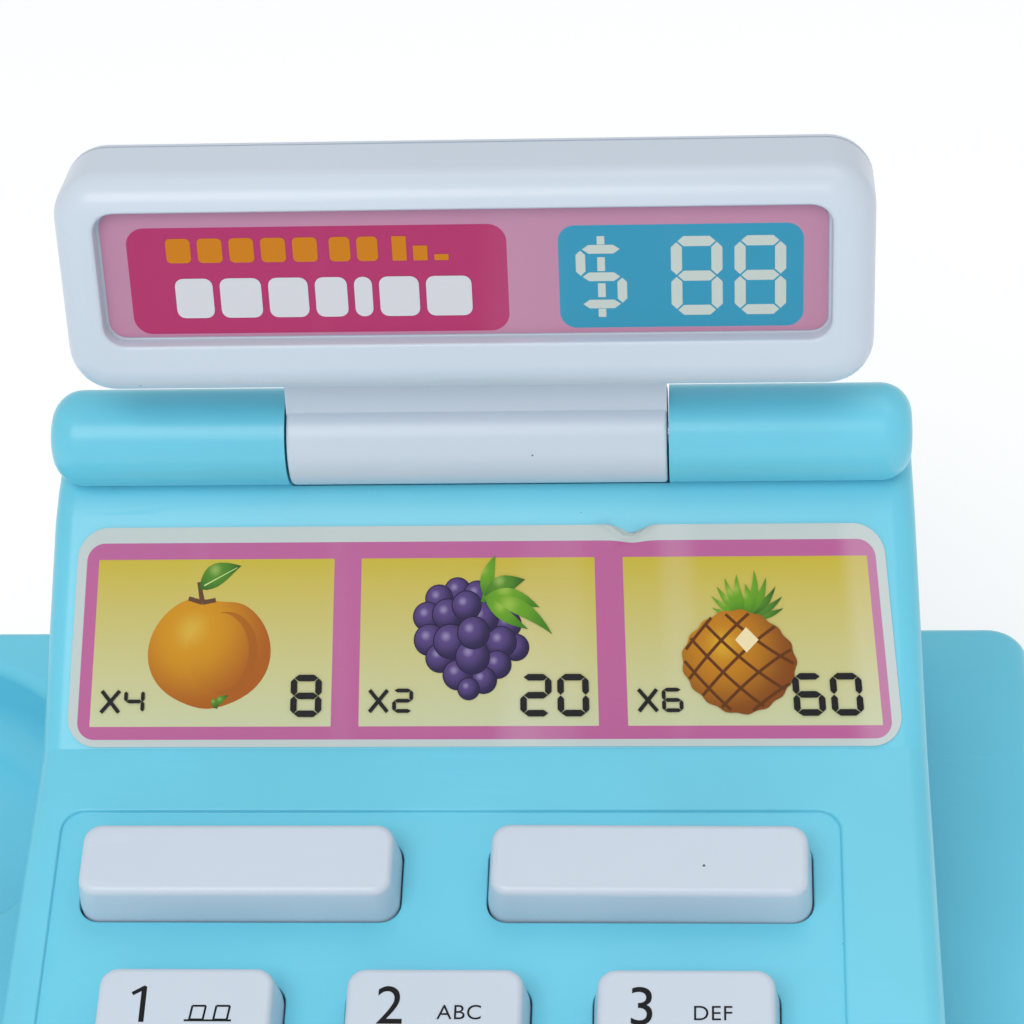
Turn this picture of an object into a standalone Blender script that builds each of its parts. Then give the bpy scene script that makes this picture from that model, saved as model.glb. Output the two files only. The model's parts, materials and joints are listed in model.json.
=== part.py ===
"""Toy cash register, as an assembly of its real pieces. Metres, +Z up, the user stands at -Y.

The origin is the centre of the footprint, on the surface the feet stand on. The body is a low box (the
drawer bay) with a raised console on it. The console's side outline starts at its crease: the keypad panel
slopes down to the front from there, and the steeper label panel rises behind it to the display's hinge.
"""

import math

import bmesh
import bpy
from mathutils import Matrix, Vector

MM = 0.001

# Overall sizes
BODY_WIDTH = 177 * MM
BODY_DEPTH = 145 * MM
DECK_HEIGHT = 46 * MM
BODY_CORNER = 5 * MM
DECK_ROUND = 2.4 * MM
WALL = 2.2 * MM
FOOT_HEIGHT = 2.5 * MM
SKIRT_HEIGHT = 12 * MM
GAP = 0.3 * MM
CLEARANCE = 0.5 * MM

# Console
CONSOLE_WIDTH = 98 * MM
CONSOLE_DRAFT = math.radians(3)
RIGHT_LEDGE = 16 * MM
CREASE_TO_BACK = 53 * MM
CREASE_RISE = 26 * MM
KEYPAD_SLOPE = math.radians(17.2)
LABEL_SLOPE = math.radians(46)
LABEL_PANEL = 25.8 * MM
BACK_FOOT_INSET = 3 * MM
CONSOLE_ROUND = 2.6 * MM

# Display hinge and display
HINGE_BEHIND_PANEL = 5.6 * MM
HINGE_ABOVE_PANEL = 7 * MM
BARREL_RADIUS = 5.4 * MM
BARREL_END_ROUND = 3.4 * MM
DISPLAY_BARREL = 41.8 * MM
PIN_RADIUS = 1.3 * MM
PIN_LENGTH = 72 * MM
DISPLAY_LEAN = math.radians(8)
DISPLAY_WIDTH = 86 * MM
DISPLAY_HEIGHT = 25.1 * MM
DISPLAY_THICKNESS = 11.6 * MM
DISPLAY_RISE = 10.2 * MM
DISPLAY_FACE = -10.7 * MM
DISPLAY_CORNER = 5 * MM
DISPLAY_ROUND = 3.6 * MM
WINDOW_WIDTH = 76.8 * MM
WINDOW_HEIGHT = 15.2 * MM
WINDOW_CORNER = 2 * MM
WINDOW_DEPTH = 1.8 * MM
WINDOW_RISE = 1.45 * MM
NECK_THICKNESS = 1.8 * MM
DISPLAY_WALL = 1.8 * MM

# Keypad
RECESS_LEFT = -45.4 * MM
RECESS_RIGHT = 39.3 * MM
RECESS_TOP = 7.8 * MM
RECESS_BOTTOM = 85.4 * MM
RECESS_DEPTH = 0.8 * MM
RECESS_CORNER = 2 * MM
KEY_COLUMNS = 3
KEY_ROWS = 4
KEY_WIDTH = 19.2 * MM
KEY_HEIGHT = 9.6 * MM
KEY_BRIDGE_X = 6.7 * MM
KEY_BRIDGE_V = 5.4 * MM
KEY_FIRST_V = 33.5 * MM
WIDE_KEY_WIDTH = 34.4 * MM
WIDE_KEY_HEIGHT = 9.4 * MM
WIDE_KEY_BRIDGE = 9.5 * MM
WIDE_KEY_V = 16.3 * MM
KEY_STANDS = 4.8 * MM
KEY_DRAFT = 0.45 * MM
KEY_CORNER = 2 * MM
KEY_ROUND = 0.9 * MM
KEY_WALL = 1.3 * MM
KEY_FLANGE = 1.2 * MM
KEY_TRAVEL = 2 * MM
RELEASE_TRAVEL = 3 * MM
PLUNGER_RADIUS = 1.8 * MM

# Sticker labels
LABEL_WIDTH = 92 * MM
LABEL_TOP_WIDTH = 88.8 * MM
LABEL_HEIGHT = 24.2 * MM
LABEL_CORNER = 3.5 * MM
LABEL_THICKNESS = 0.3 * MM
LABEL_LIFT = 0.3 * MM

# Coin bowl in the left deck
BOWL_RADIUS = 27.5 * MM
BOWL_DEPTH = 10.5 * MM
BOWL_FLOOR_ROUND = 5 * MM
BOWL_MARGIN = 6.4 * MM
BOWL_TO_BACK = 33 * MM

# Drawer
DRAWER_FRONT_THICKNESS = 4 * MM
DRAWER_FRONT_INSET = 4 * MM
DRAWER_SIDE_ROOM = 12.3 * MM
DRAWER_DEPTH = 78 * MM
DRAWER_WALL = 1.6 * MM
DRAWER_TRAVEL = 60 * MM
RAIL_HEIGHT = 1 * MM
RAIL_WIDTH = 4 * MM
COIN_ROW = 33 * MM
COIN_CUPS = 4
SCOOP_WIDTH = 42 * MM
SCOOP_RADIUS = 7 * MM
SCOOP_DEPTH = 2.4 * MM

# Drawer latch
LATCH_THICKNESS = 1.6 * MM
LATCH_BEHIND_STEM = 15 * MM
LATCH_POST = 8 * MM
LATCH_NOSE = 3.9 * MM
LATCH_NOSE_WIDTH = 8 * MM
LATCH_WIDTH = 16 * MM
CATCH_REACH = 7 * MM
CATCH_LIP = 2.6 * MM
CATCH_THICKNESS = 1.5 * MM
STEM_RADIUS = 2 * MM
STEM_OFFSET = 10 * MM

# Electrics
CELL_RADIUS = 7.2 * MM
CELL_LENGTH = 50.5 * MM
CELL_NUB_RADIUS = 2.7 * MM
CELL_NUB = 1 * MM
CELLS = 2
CELL_SPRING = 5 * MM
BATTERY_WALL = 1.6 * MM
BATTERY_BOX_X = -3 * MM
CONTACT_SIZE = 9 * MM
CONTACT_THICKNESS = 0.5 * MM
SPEAKER_RADIUS = 18 * MM
SPEAKER_HEIGHT = 11 * MM
SPEAKER_SLOTS = 5
SPEAKER_SLOT_PITCH = 5 * MM
SPEAKER_RING = 1.6 * MM
BOARD_DROP = 9.6 * MM
BOARD_THICKNESS = 1.5 * MM
MEMBRANE_THICKNESS = 1.2 * MM
DOME_RADIUS = 3.4 * MM
POST_RADIUS = 2.6 * MM

# Fasteners and feet
SCREW_RADIUS = 1.4 * MM
SCREW_HEAD_RADIUS = 2.7 * MM
SCREW_HEAD_HEIGHT = 1.8 * MM
CASE_SCREW_LENGTH = 16 * MM
CASE_BOSS_RADIUS = 4.2 * MM
CASE_BOSS_INSET = 7.4 * MM
SMALL_SCREW_RADIUS = 0.9 * MM
SMALL_HEAD_RADIUS = 1.9 * MM
SMALL_HEAD_HEIGHT = 1.1 * MM
SMALL_SCREW_LENGTH = 5 * MM
FOOT_RADIUS = 5.5 * MM
FOOT_SINK = 1 * MM
FOOT_INSET = 19 * MM

# Places worked out from the sizes
BODY_LEFT = -BODY_WIDTH / 2
BODY_FRONT = -BODY_DEPTH / 2
BODY_BACK = BODY_DEPTH / 2
CONSOLE_X = BODY_WIDTH / 2 - RIGHT_LEDGE - CONSOLE_WIDTH / 2
CREASE_Y = BODY_BACK - CREASE_TO_BACK
CREASE_Z = DECK_HEIGHT + CREASE_RISE
PANEL_TOP_Y = CREASE_Y + LABEL_PANEL * math.cos(LABEL_SLOPE)
PANEL_TOP_Z = CREASE_Z + LABEL_PANEL * math.sin(LABEL_SLOPE)
HINGE_Y = PANEL_TOP_Y + HINGE_BEHIND_PANEL
HINGE_Z = PANEL_TOP_Z + HINGE_ABOVE_PANEL
PARTING_HEIGHT = DECK_HEIGHT - SKIRT_HEIGHT
FLOOR_TOP = FOOT_HEIGHT + WALL
BASE_FRONT = BODY_FRONT + DRAWER_FRONT_THICKNESS + GAP
PANEL_UNDERSIDE = -RECESS_DEPTH - WALL
KEYPAD_X = (RECESS_LEFT + RECESS_RIGHT) / 2
KEY_PITCH_X = KEY_WIDTH + KEY_BRIDGE_X
KEY_PITCH_V = KEY_HEIGHT + KEY_BRIDGE_V
WIDE_KEY_SPACING = WIDE_KEY_WIDTH + WIDE_KEY_BRIDGE
TRAY_BOTTOM = FLOOR_TOP + RAIL_HEIGHT + GAP
TRAY_TOP = PARTING_HEIGHT - 5 * MM
TRAY_HALF = BODY_WIDTH / 2 - WALL - DRAWER_SIDE_ROOM
TRAY_FRONT = BASE_FRONT
TRAY_BACK = TRAY_FRONT + DRAWER_DEPTH
CATCH_UNDERSIDE = TRAY_TOP + 1 * MM
LATCH_LOW = CATCH_UNDERSIDE - CATCH_LIP - 2 * GAP - LATCH_THICKNESS - 1 * MM
STEM_TOP_Y = CREASE_Y - WIDE_KEY_V * math.cos(KEYPAD_SLOPE)
STEM_TOP_Z = CREASE_Z - WIDE_KEY_V * math.sin(KEYPAD_SLOPE)
STEM_FOOT_Y = STEM_TOP_Y + (STEM_TOP_Z - LATCH_LOW - LATCH_THICKNESS) * math.tan(KEYPAD_SLOPE)
LATCH_ROOT_Y = STEM_FOOT_Y + LATCH_BEHIND_STEM
RELEASE_KEY_X = KEYPAD_X + WIDE_KEY_SPACING / 2
STEM_X = CONSOLE_X + RELEASE_KEY_X + STEM_OFFSET
BOWL_X = BODY_LEFT + BOWL_MARGIN + BOWL_RADIUS
BOWL_Y = BODY_BACK - BOWL_TO_BACK
BATTERY_BACK = BODY_BACK - WALL - 2 * MM
BATTERY_INNER_DEPTH = CELLS * (2 * CELL_RADIUS + CLEARANCE)
BATTERY_INNER_LENGTH = CELL_LENGTH + CELL_NUB + CELL_SPRING + 2 * CONTACT_THICKNESS + 3 * GAP
BATTERY_BOX_HEIGHT = 2 * CELL_RADIUS + 2 * MM
SPEAKER_X = BODY_LEFT + WALL + SPEAKER_RADIUS + 5 * MM
SPEAKER_Y = BODY_BACK - 2 * FOOT_INSET / 2 - SPEAKER_RADIUS * 0.8 - 1.5 * MM

# Frames: a piece modelled flat in one of these lands in its place
KEYPAD_FRAME = Matrix.Translation((CONSOLE_X, CREASE_Y, CREASE_Z)) @ Matrix.Rotation(KEYPAD_SLOPE, 4, "X")
LABEL_FRAME = Matrix.Translation((CONSOLE_X, CREASE_Y, CREASE_Z)) @ Matrix.Rotation(LABEL_SLOPE, 4, "X")
DISPLAY_FRAME = Matrix.Translation((CONSOLE_X, HINGE_Y, HINGE_Z)) @ Matrix.Rotation(-DISPLAY_LEAN, 4, "X")
UPRIGHT = Matrix.Rotation(math.radians(90), 4, "X")

SKY_BLUE = ("sky_blue_plastic", (0.19, 0.62, 0.80), 0.32, 0.0)
WHITE = ("white_plastic", (0.82, 0.84, 0.88), 0.35, 0.0)
LABEL_PRINT = ("label_print", (0.78, 0.42, 0.62), 0.4, 0.0)
DISPLAY_PRINT = ("display_print", (0.70, 0.36, 0.56), 0.4, 0.0)
STEEL = ("steel", (0.62, 0.62, 0.64), 0.3, 1.0)
SILICONE = ("silicone_rubber", (0.55, 0.56, 0.58), 0.7, 0.0)
BOARD_GREEN = ("circuit_board", (0.05, 0.30, 0.12), 0.5, 0.0)
BLACK = ("black_plastic", (0.03, 0.03, 0.035), 0.5, 0.0)
CELL_WRAP = ("battery_wrap", (0.09, 0.10, 0.12), 0.35, 0.0)
RUBBER = ("grey_rubber", (0.20, 0.21, 0.22), 0.85, 0.0)


def material(finish):
    name, colour, roughness, metallic = finish
    found = bpy.data.materials.get(name)
    if found:
        return found
    made = bpy.data.materials.new(name)
    made.use_nodes = True
    shader = made.node_tree.nodes["Principled BSDF"]
    shader.inputs["Base Color"].default_value = (*colour, 1.0)
    shader.inputs["Roughness"].default_value = roughness
    shader.inputs["Metallic"].default_value = metallic
    return made


# Outlines and shapes, added to a bmesh


def rounded_rectangle(half_x, half_y, corner, z, steps):
    """Points of a rounded rectangle, anticlockwise from above."""
    points = []
    for quarter, (sx, sy) in enumerate(((1, 1), (-1, 1), (-1, -1), (1, -1))):
        centre = Vector((sx * (half_x - corner), sy * (half_y - corner), z))
        for step in range(steps + 1):
            angle = math.radians(90) * (quarter + step / steps)
            points.append(centre + corner * Vector((math.cos(angle), math.sin(angle), 0)))
    return points


def circle(radius, z, sides):
    turn = 2 * math.pi / sides
    return [Vector((radius * math.cos(k * turn), radius * math.sin(k * turn), z)) for k in range(sides)]


def add_loft(bm, rings, place=Matrix.Identity(4)):
    """Closes a skin over rings of equal length, listed bottom to top."""
    loops = [[bm.verts.new(place @ point) for point in ring] for ring in rings]
    for lower, upper in zip(loops, loops[1:]):
        for k in range(len(lower)):
            after = (k + 1) % len(lower)
            bm.faces.new((lower[k], lower[after], upper[after], upper[k]))
    bm.faces.new(loops[0][::-1])
    bm.faces.new(loops[-1])


def add_cylinder(bm, radius, low, high, place=Matrix.Identity(4), sides=16):
    add_loft(bm, [circle(radius, low, sides), circle(radius, high, sides)], place)


def add_box(bm, low, high, place=Matrix.Identity(4)):
    corners = [(low[0], low[1]), (high[0], low[1]), (high[0], high[1]), (low[0], high[1])]
    add_loft(bm, [[Vector((x, y, z)) for x, y in corners] for z in (low[2], high[2])], place)


def draft_console_sides(bm, half):
    """Leans the console's two sides in towards the top, about its width at the crease."""
    for vertex in bm.verts:
        side = 1 if vertex.co.x > CONSOLE_X else -1
        rise = vertex.co.z - CREASE_Z
        vertex.co.x = CONSOLE_X + side * (half - rise * math.tan(CONSOLE_DRAFT))


def add_prism(bm, outline, left, right):
    """Extrudes an outline of (y, z) points, anticlockwise seen from +X, along X."""
    rings = [[Vector((x, y, z)) for y, z in outline] for x in (left, right)]
    add_loft(bm, rings)


def inset_outline(outline, distance):
    """The outline moved in by distance, each corner at the crossing of its two moved sides."""
    sides = []
    for k, start in enumerate(outline):
        end = outline[(k + 1) % len(outline)]
        along = (Vector(end) - Vector(start)).normalized()
        inward = Vector((-along.y, along.x))
        sides.append((Vector(start) + inward * distance, along))
    moved = []
    for k, (point, along) in enumerate(sides):
        other, direction = sides[k - 1]
        cross = direction.x * along.y - direction.y * along.x
        travel = ((point - other).x * along.y - (point - other).y * along.x) / cross
        moved.append(tuple(other + direction * travel))
    return moved


def soft_rings(half_x, half_y, corner, low, high, top_round=0.0, low_round=0.0, draft=0.0, steps=3, arc=2):
    """Rings of a block with round corners, filleted at its foot and top, whose top is smaller by draft a side."""
    rings = []
    if low_round:
        for k in range(arc):
            angle = math.radians(90) * k / arc
            inset = low_round * (1 - math.sin(angle))
            lift = low_round * (1 - math.cos(angle))
            rings.append((inset, low + lift))
    rings.append((0.0, low + low_round))
    for k in range(arc + 1 if top_round else 1):
        angle = math.radians(90) * k / arc
        inset = draft + top_round * (1 - math.cos(angle))
        rings.append((inset, high - top_round * (1 - math.sin(angle))))
    return [
        rounded_rectangle(half_x - inset, half_y - inset, max(corner - inset, corner * 0.3), z, steps)
        for inset, z in rings
    ]


def coil_rings(radius, wire, length, turns, steps_a_turn=8, sides=5):
    """Rings of wire along a helix that climbs +Z."""
    rings = []
    for k in range(turns * steps_a_turn + 1):
        angle = 2 * math.pi * k / steps_a_turn
        centre_z = wire + (length - 2 * wire) * k / (turns * steps_a_turn)
        outward = Vector((math.cos(angle), math.sin(angle), 0))
        centre = outward * radius + Vector((0, 0, centre_z))
        ring = []
        for side in range(sides):
            turn = -2 * math.pi * side / sides
            ring.append(centre + wire * (math.cos(turn) * outward + math.sin(turn) * Vector((0, 0, 1))))
        rings.append(ring[::-1])
    return rings


# Objects


def make_object(name, bm, place=Matrix.Identity(4)):
    bmesh.ops.recalc_face_normals(bm, faces=bm.faces)
    mesh = bpy.data.meshes.new(name)
    bm.to_mesh(mesh)
    bm.free()
    made = bpy.data.objects.new(name, mesh)
    made.matrix_world = place
    bpy.context.scene.collection.objects.link(made)
    return made


def make_node(name, bm, finish, place=Matrix.Identity(4), smooth=40):
    node = make_object(name, bm, place)
    node.data.materials.append(material(finish))
    node.data.shade_smooth()
    node.data.set_sharp_from_angle(angle=math.radians(smooth))
    return node


def make_tool(name, bm, place=Matrix.Identity(4)):
    tool = make_object(name, bm, place)
    tool.hide_render = True
    tool.display_type = "WIRE"
    return tool


def combine(node, operation, *tools):
    for tool in tools:
        modifier = node.modifiers.new(f"{operation.lower()}_{tool.name}", "BOOLEAN")
        modifier.operation = operation
        modifier.solver = "EXACT"
        modifier.object = tool


def cylinder_tool(name, radius, low, high, place, sides=16):
    bm = bmesh.new()
    add_cylinder(bm, radius, low, high, place, sides)
    return make_tool(name, bm)


def box_tool(name, low, high, place=Matrix.Identity(4)):
    bm = bmesh.new()
    add_box(bm, low, high, place)
    return make_tool(name, bm)


def mirrored_places(x, y, z):
    return [Matrix.Translation((sx * x, sy * y, z)) for sy in (-1, 1) for sx in (-1, 1)]


def along_x(x, y, z):
    """A frame whose +Z points along world +X."""
    return Matrix.Translation((x, y, z)) @ Matrix.Rotation(math.radians(90), 4, "Y")


def keypad_at(x, v, h=0.0):
    """A frame on the keypad panel: x from the console's middle, v down the slope, h off the panel."""
    return KEYPAD_FRAME @ Matrix.Translation((x, -v, h))


# Where the keys are


def number_key_places():
    """(name, x, v) of each number key, laid out as on a telephone."""
    names = [str(n) for n in range(1, 10)] + ["star", "0", "hash"]
    places = []
    for index, name in enumerate(names):
        column, row = index % KEY_COLUMNS, index // KEY_COLUMNS
        x = KEYPAD_X + (column - (KEY_COLUMNS - 1) / 2) * KEY_PITCH_X
        places.append((name, x, KEY_FIRST_V + row * KEY_PITCH_V))
    return places


def board_post_places():
    """(x, v) of the posts that carry the circuit board, between the key columns."""
    rows = [KEY_FIRST_V + KEY_PITCH_V / 2, KEY_FIRST_V + (KEY_ROWS - 1.5) * KEY_PITCH_V]
    return [(KEYPAD_X + side * KEY_PITCH_X / 2, v) for v in rows for side in (-1, 1)]


def case_screw_places(z):
    """The corner screws stand as far behind the base's front wall as before its back wall."""
    x = BODY_WIDTH / 2 - CASE_BOSS_INSET
    ys = (BASE_FRONT + CASE_BOSS_INSET, BODY_BACK - CASE_BOSS_INSET)
    return [Matrix.Translation((side * x, y, z)) for y in ys for side in (-1, 1)]


# Console and decks


def console_outline():
    """Side outline of the console, anticlockwise seen from +X, starting at the front."""
    below = DECK_HEIGHT - WALL
    front_y = CREASE_Y - (CREASE_Z - below) / math.tan(KEYPAD_SLOPE)
    return [
        (front_y, below),
        (BODY_BACK - BACK_FOOT_INSET, below),
        (HINGE_Y + BARREL_RADIUS * 1.08, HINGE_Z - BARREL_RADIUS * 0.35),
        (HINGE_Y - BARREL_RADIUS * 0.42, HINGE_Z - BARREL_RADIUS * 0.92),
        (PANEL_TOP_Y, PANEL_TOP_Z),
        (CREASE_Y, CREASE_Z),
    ]


def deck_block():
    bm = bmesh.new()
    rings = soft_rings(
        BODY_WIDTH / 2, BODY_DEPTH / 2, BODY_CORNER, PARTING_HEIGHT + GAP, DECK_HEIGHT, top_round=DECK_ROUND
    )
    add_loft(bm, rings)
    return make_node("top_shell", bm, SKY_BLUE)


def console_block():
    bm = bmesh.new()
    half = CONSOLE_WIDTH / 2
    add_prism(bm, console_outline(), CONSOLE_X - half, CONSOLE_X + half)
    draft_console_sides(bm, half)
    tool = make_tool("console_block", bm)
    bevel = tool.modifiers.new("soft_edges", "BEVEL")
    bevel.width = CONSOLE_ROUND
    bevel.segments = 3
    bevel.limit_method = "ANGLE"
    bevel.angle_limit = math.radians(50)
    return tool


def hinge_barrel(side):
    """One of the console's two fixed barrels, round at its outer end."""
    inner = DISPLAY_BARREL / 2 + CLEARANCE
    outer = CONSOLE_WIDTH / 2 - (HINGE_Z - CREASE_Z) * math.tan(CONSOLE_DRAFT)
    rings = [circle(BARREL_RADIUS, inner, 20)]
    for k in range(4):
        angle = math.radians(90) * k / 3
        radius = BARREL_RADIUS - BARREL_END_ROUND * (1 - math.cos(angle))
        rings.append(circle(radius, outer - BARREL_END_ROUND * (1 - math.sin(angle)), 20))
    bm = bmesh.new()
    turn = Matrix.Rotation(math.radians(90) * side, 4, "Y")
    add_loft(bm, rings, Matrix.Translation((CONSOLE_X, HINGE_Y, HINGE_Z)) @ turn)
    return make_tool(f"hinge_barrel_{'right' if side > 0 else 'left'}", bm)


def console_hollow():
    bm = bmesh.new()
    outline = inset_outline(console_outline(), WALL)
    low = outline[0][1] - 3 * WALL
    front_y = max(BODY_FRONT + WALL, outline[0][0] - 2 * WALL / math.tan(KEYPAD_SLOPE))
    front_z = outline[0][1] - (outline[0][0] - front_y) * math.tan(KEYPAD_SLOPE)
    outline[:2] = [(front_y, front_z), (front_y, low), (outline[1][0], low)]
    half = CONSOLE_WIDTH / 2 - WALL
    add_prism(bm, outline, CONSOLE_X - half, CONSOLE_X + half)
    draft_console_sides(bm, half)
    return make_tool("console_hollow", bm)


def deck_hollow():
    bm = bmesh.new()
    rings = soft_rings(
        BODY_WIDTH / 2 - WALL, BODY_DEPTH / 2 - WALL, BODY_CORNER - WALL / 2,
        PARTING_HEIGHT - WALL, DECK_HEIGHT - WALL,
    )
    add_loft(bm, rings)
    return make_tool("deck_hollow", bm)


def bowl_rings(radius, floor, top, floor_round):
    rings = []
    for k in range(4):
        angle = math.radians(90) * k / 3
        rings.append(circle(radius - floor_round * (1 - math.sin(angle)), floor + floor_round * (1 - math.cos(angle)), 32))
    return rings + [circle(radius, top, 32)]


def bowl_tools():
    place = Matrix.Translation((BOWL_X, BOWL_Y, 0))
    floor = DECK_HEIGHT - BOWL_DEPTH
    outside, inside = bmesh.new(), bmesh.new()
    add_loft(outside, bowl_rings(BOWL_RADIUS + WALL, floor - WALL, DECK_HEIGHT - WALL / 2, BOWL_FLOOR_ROUND + WALL), place)
    add_loft(inside, bowl_rings(BOWL_RADIUS, floor, DECK_HEIGHT + WALL, BOWL_FLOOR_ROUND), place)
    return make_tool("bowl_outside", outside), make_tool("bowl_inside", inside)


def keypad_recess():
    bm = bmesh.new()
    half_x = (RECESS_RIGHT - RECESS_LEFT) / 2
    half_v = (RECESS_BOTTOM - RECESS_TOP) / 2
    rings = [rounded_rectangle(half_x, half_v, RECESS_CORNER, h, 3) for h in (-RECESS_DEPTH, KEY_STANDS)]
    add_loft(bm, rings, keypad_at(KEYPAD_X, (RECESS_TOP + RECESS_BOTTOM) / 2))
    return make_tool("keypad_recess", bm)


def key_holes():
    bm = bmesh.new()
    holes = [(x, v, KEY_WIDTH, KEY_HEIGHT) for _, x, v in number_key_places()]
    for side in (-1, 1):
        holes.append((KEYPAD_X + side * WIDE_KEY_SPACING / 2, WIDE_KEY_V, WIDE_KEY_WIDTH, WIDE_KEY_HEIGHT))
    for x, v, width, height in holes:
        rings = [
            rounded_rectangle(width / 2 + CLEARANCE, height / 2 + CLEARANCE, KEY_CORNER, h, 2)
            for h in (PANEL_UNDERSIDE - WALL, KEY_STANDS)
        ]
        add_loft(bm, rings, keypad_at(x, v))
    return make_tool("key_holes", bm)


def board_posts():
    bm = bmesh.new()
    for x, v in board_post_places():
        add_cylinder(bm, POST_RADIUS, -BOARD_DROP + GAP, PANEL_UNDERSIDE + WALL / 2, keypad_at(x, v), 10)
    return make_tool("board_posts", bm)


def board_post_holes():
    bm = bmesh.new()
    for x, v in board_post_places():
        radius = SMALL_SCREW_RADIUS + GAP
        add_cylinder(bm, radius, -BOARD_DROP - WALL, PANEL_UNDERSIDE - GAP, keypad_at(x, v), 10)
    return make_tool("board_post_holes", bm)


def upper_screw_bosses():
    bosses, holes = bmesh.new(), bmesh.new()
    for place in case_screw_places(0):
        add_cylinder(bosses, CASE_BOSS_RADIUS, PARTING_HEIGHT + GAP, DECK_HEIGHT - WALL / 2, place, 14)
        add_cylinder(holes, SCREW_RADIUS + GAP, PARTING_HEIGHT - WALL, DECK_HEIGHT - WALL - GAP, place, 12)
    return make_tool("upper_screw_bosses", bosses), make_tool("upper_screw_holes", holes)


def build_top_shell():
    shell = deck_block()
    combine(shell, "UNION", console_block(), hinge_barrel(-1), hinge_barrel(1))
    combine(shell, "DIFFERENCE", deck_hollow(), console_hollow())
    bowl_outside, bowl_inside = bowl_tools()
    bosses, boss_holes = upper_screw_bosses()
    combine(shell, "UNION", bowl_outside, bosses, board_posts())
    combine(shell, "DIFFERENCE", bowl_inside, boss_holes, board_post_holes(), keypad_recess(), key_holes())
    notch_half = DISPLAY_BARREL / 2 + CLEARANCE
    axis = along_x(CONSOLE_X, HINGE_Y, HINGE_Z)
    notch = cylinder_tool("hinge_notch", BARREL_RADIUS + CLEARANCE, -notch_half, notch_half, axis, 24)
    bore = cylinder_tool("hinge_pin_bore", PIN_RADIUS + GAP, -PIN_LENGTH / 2 - GAP, PIN_LENGTH / 2 + GAP, axis, 12)
    combine(shell, "DIFFERENCE", notch, bore)
    return shell


# Base


def battery_box():
    """Walls that stand on the floor round the cells, and the hatch opening under them."""
    half = BATTERY_INNER_LENGTH / 2
    front = BATTERY_BACK - BATTERY_WALL - BATTERY_INNER_DEPTH
    low = (BATTERY_BOX_X - half - BATTERY_WALL, front - BATTERY_WALL, FLOOR_TOP - WALL / 2)
    high = (BATTERY_BOX_X + half + BATTERY_WALL, BATTERY_BACK, FLOOR_TOP + BATTERY_BOX_HEIGHT)
    walls = box_tool("battery_walls", low, high)
    room = box_tool(
        "battery_room",
        (BATTERY_BOX_X - half, front, FOOT_HEIGHT - WALL),
        (BATTERY_BOX_X + half, front + BATTERY_INNER_DEPTH, high[2] + WALL),
    )
    return walls, room


def hatch_tab_tools():
    """A boss beside the hatch for the cover's screw, and the pocket in the floor for the cover's ear."""
    place = hatch_screw_place()
    boss = cylinder_tool("hatch_boss", CASE_BOSS_RADIUS, FLOOR_TOP - WALL / 2, FLOOR_TOP + 6 * MM, place, 14)
    bore = cylinder_tool("hatch_bore", SMALL_SCREW_RADIUS + GAP, FOOT_HEIGHT - WALL, FLOOR_TOP + 5 * MM, place, 10)
    pocket = box_tool("hatch_ear_pocket", *hatch_ear(GAP, FOOT_HEIGHT - WALL, FOOT_HEIGHT + WALL / 2 + GAP))
    return boss, bore, pocket


def hatch_screw_place():
    x = BATTERY_BOX_X + BATTERY_INNER_LENGTH / 2 + BATTERY_WALL + CASE_BOSS_RADIUS
    y = BATTERY_BACK - BATTERY_WALL - BATTERY_INNER_DEPTH / 2
    return Matrix.Translation((x, y, 0))


def hatch_ear(grow, low, high):
    screw = hatch_screw_place().translation
    left = BATTERY_BOX_X + BATTERY_INNER_LENGTH / 2 - CLEARANCE
    reach = SMALL_HEAD_RADIUS + 1.5 * MM
    return (left, screw.y - reach - grow, low), (screw.x + reach + grow, screw.y + reach + grow, high)


def drawer_rails():
    bm = bmesh.new()
    for side in (-1, 1):
        x = side * TRAY_HALF * 0.7
        add_box(
            bm,
            (x - RAIL_WIDTH / 2, BASE_FRONT + WALL / 2, FLOOR_TOP - WALL / 2),
            (x + RAIL_WIDTH / 2, TRAY_BACK, FLOOR_TOP + RAIL_HEIGHT),
        )
    return make_tool("drawer_rails", bm)


def drawer_guides():
    """Low walls beside the tray that keep it square as it slides."""
    bm = bmesh.new()
    for side in (-1, 1):
        near = TRAY_HALF + CLEARANCE
        span = sorted((side * near, side * (near + DRAWER_WALL)))
        add_box(
            bm,
            (span[0], BASE_FRONT + WALL / 2, FLOOR_TOP - WALL / 2),
            (span[1], TRAY_BACK, TRAY_BOTTOM + 8 * MM),
        )
    return make_tool("drawer_guides", bm)


def drawer_mouth():
    """The opening in the base's front wall that the tray slides through."""
    return box_tool(
        "drawer_mouth",
        (-TRAY_HALF - CLEARANCE, BASE_FRONT - WALL, FLOOR_TOP + RAIL_HEIGHT),
        (TRAY_HALF + CLEARANCE, BASE_FRONT + 2 * WALL, TRAY_TOP + 3.2 * MM),
    )


def latch_left():
    """The latch's left side: its right edge lies under the release key's stem."""
    return STEM_X + STEM_RADIUS + 1.5 * MM - LATCH_WIDTH


def latch_post_tools():
    """The block on the floor that the latch is screwed to, and its screw's bore."""
    left = latch_left()
    post = box_tool(
        "latch_post",
        (left, LATCH_ROOT_Y - LATCH_POST / 2, FLOOR_TOP - WALL / 2),
        (left + LATCH_WIDTH, LATCH_ROOT_Y + LATCH_POST / 2, LATCH_LOW - GAP),
    )
    bore = cylinder_tool(
        "latch_post_bore", SMALL_SCREW_RADIUS + GAP, LATCH_LOW - SMALL_SCREW_LENGTH - 2 * MM, LATCH_LOW + WALL,
        latch_screw_place(), 10,
    )
    return post, bore


def latch_screw_place():
    return Matrix.Translation((latch_left() + LATCH_WIDTH / 2, LATCH_ROOT_Y, 0))


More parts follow.
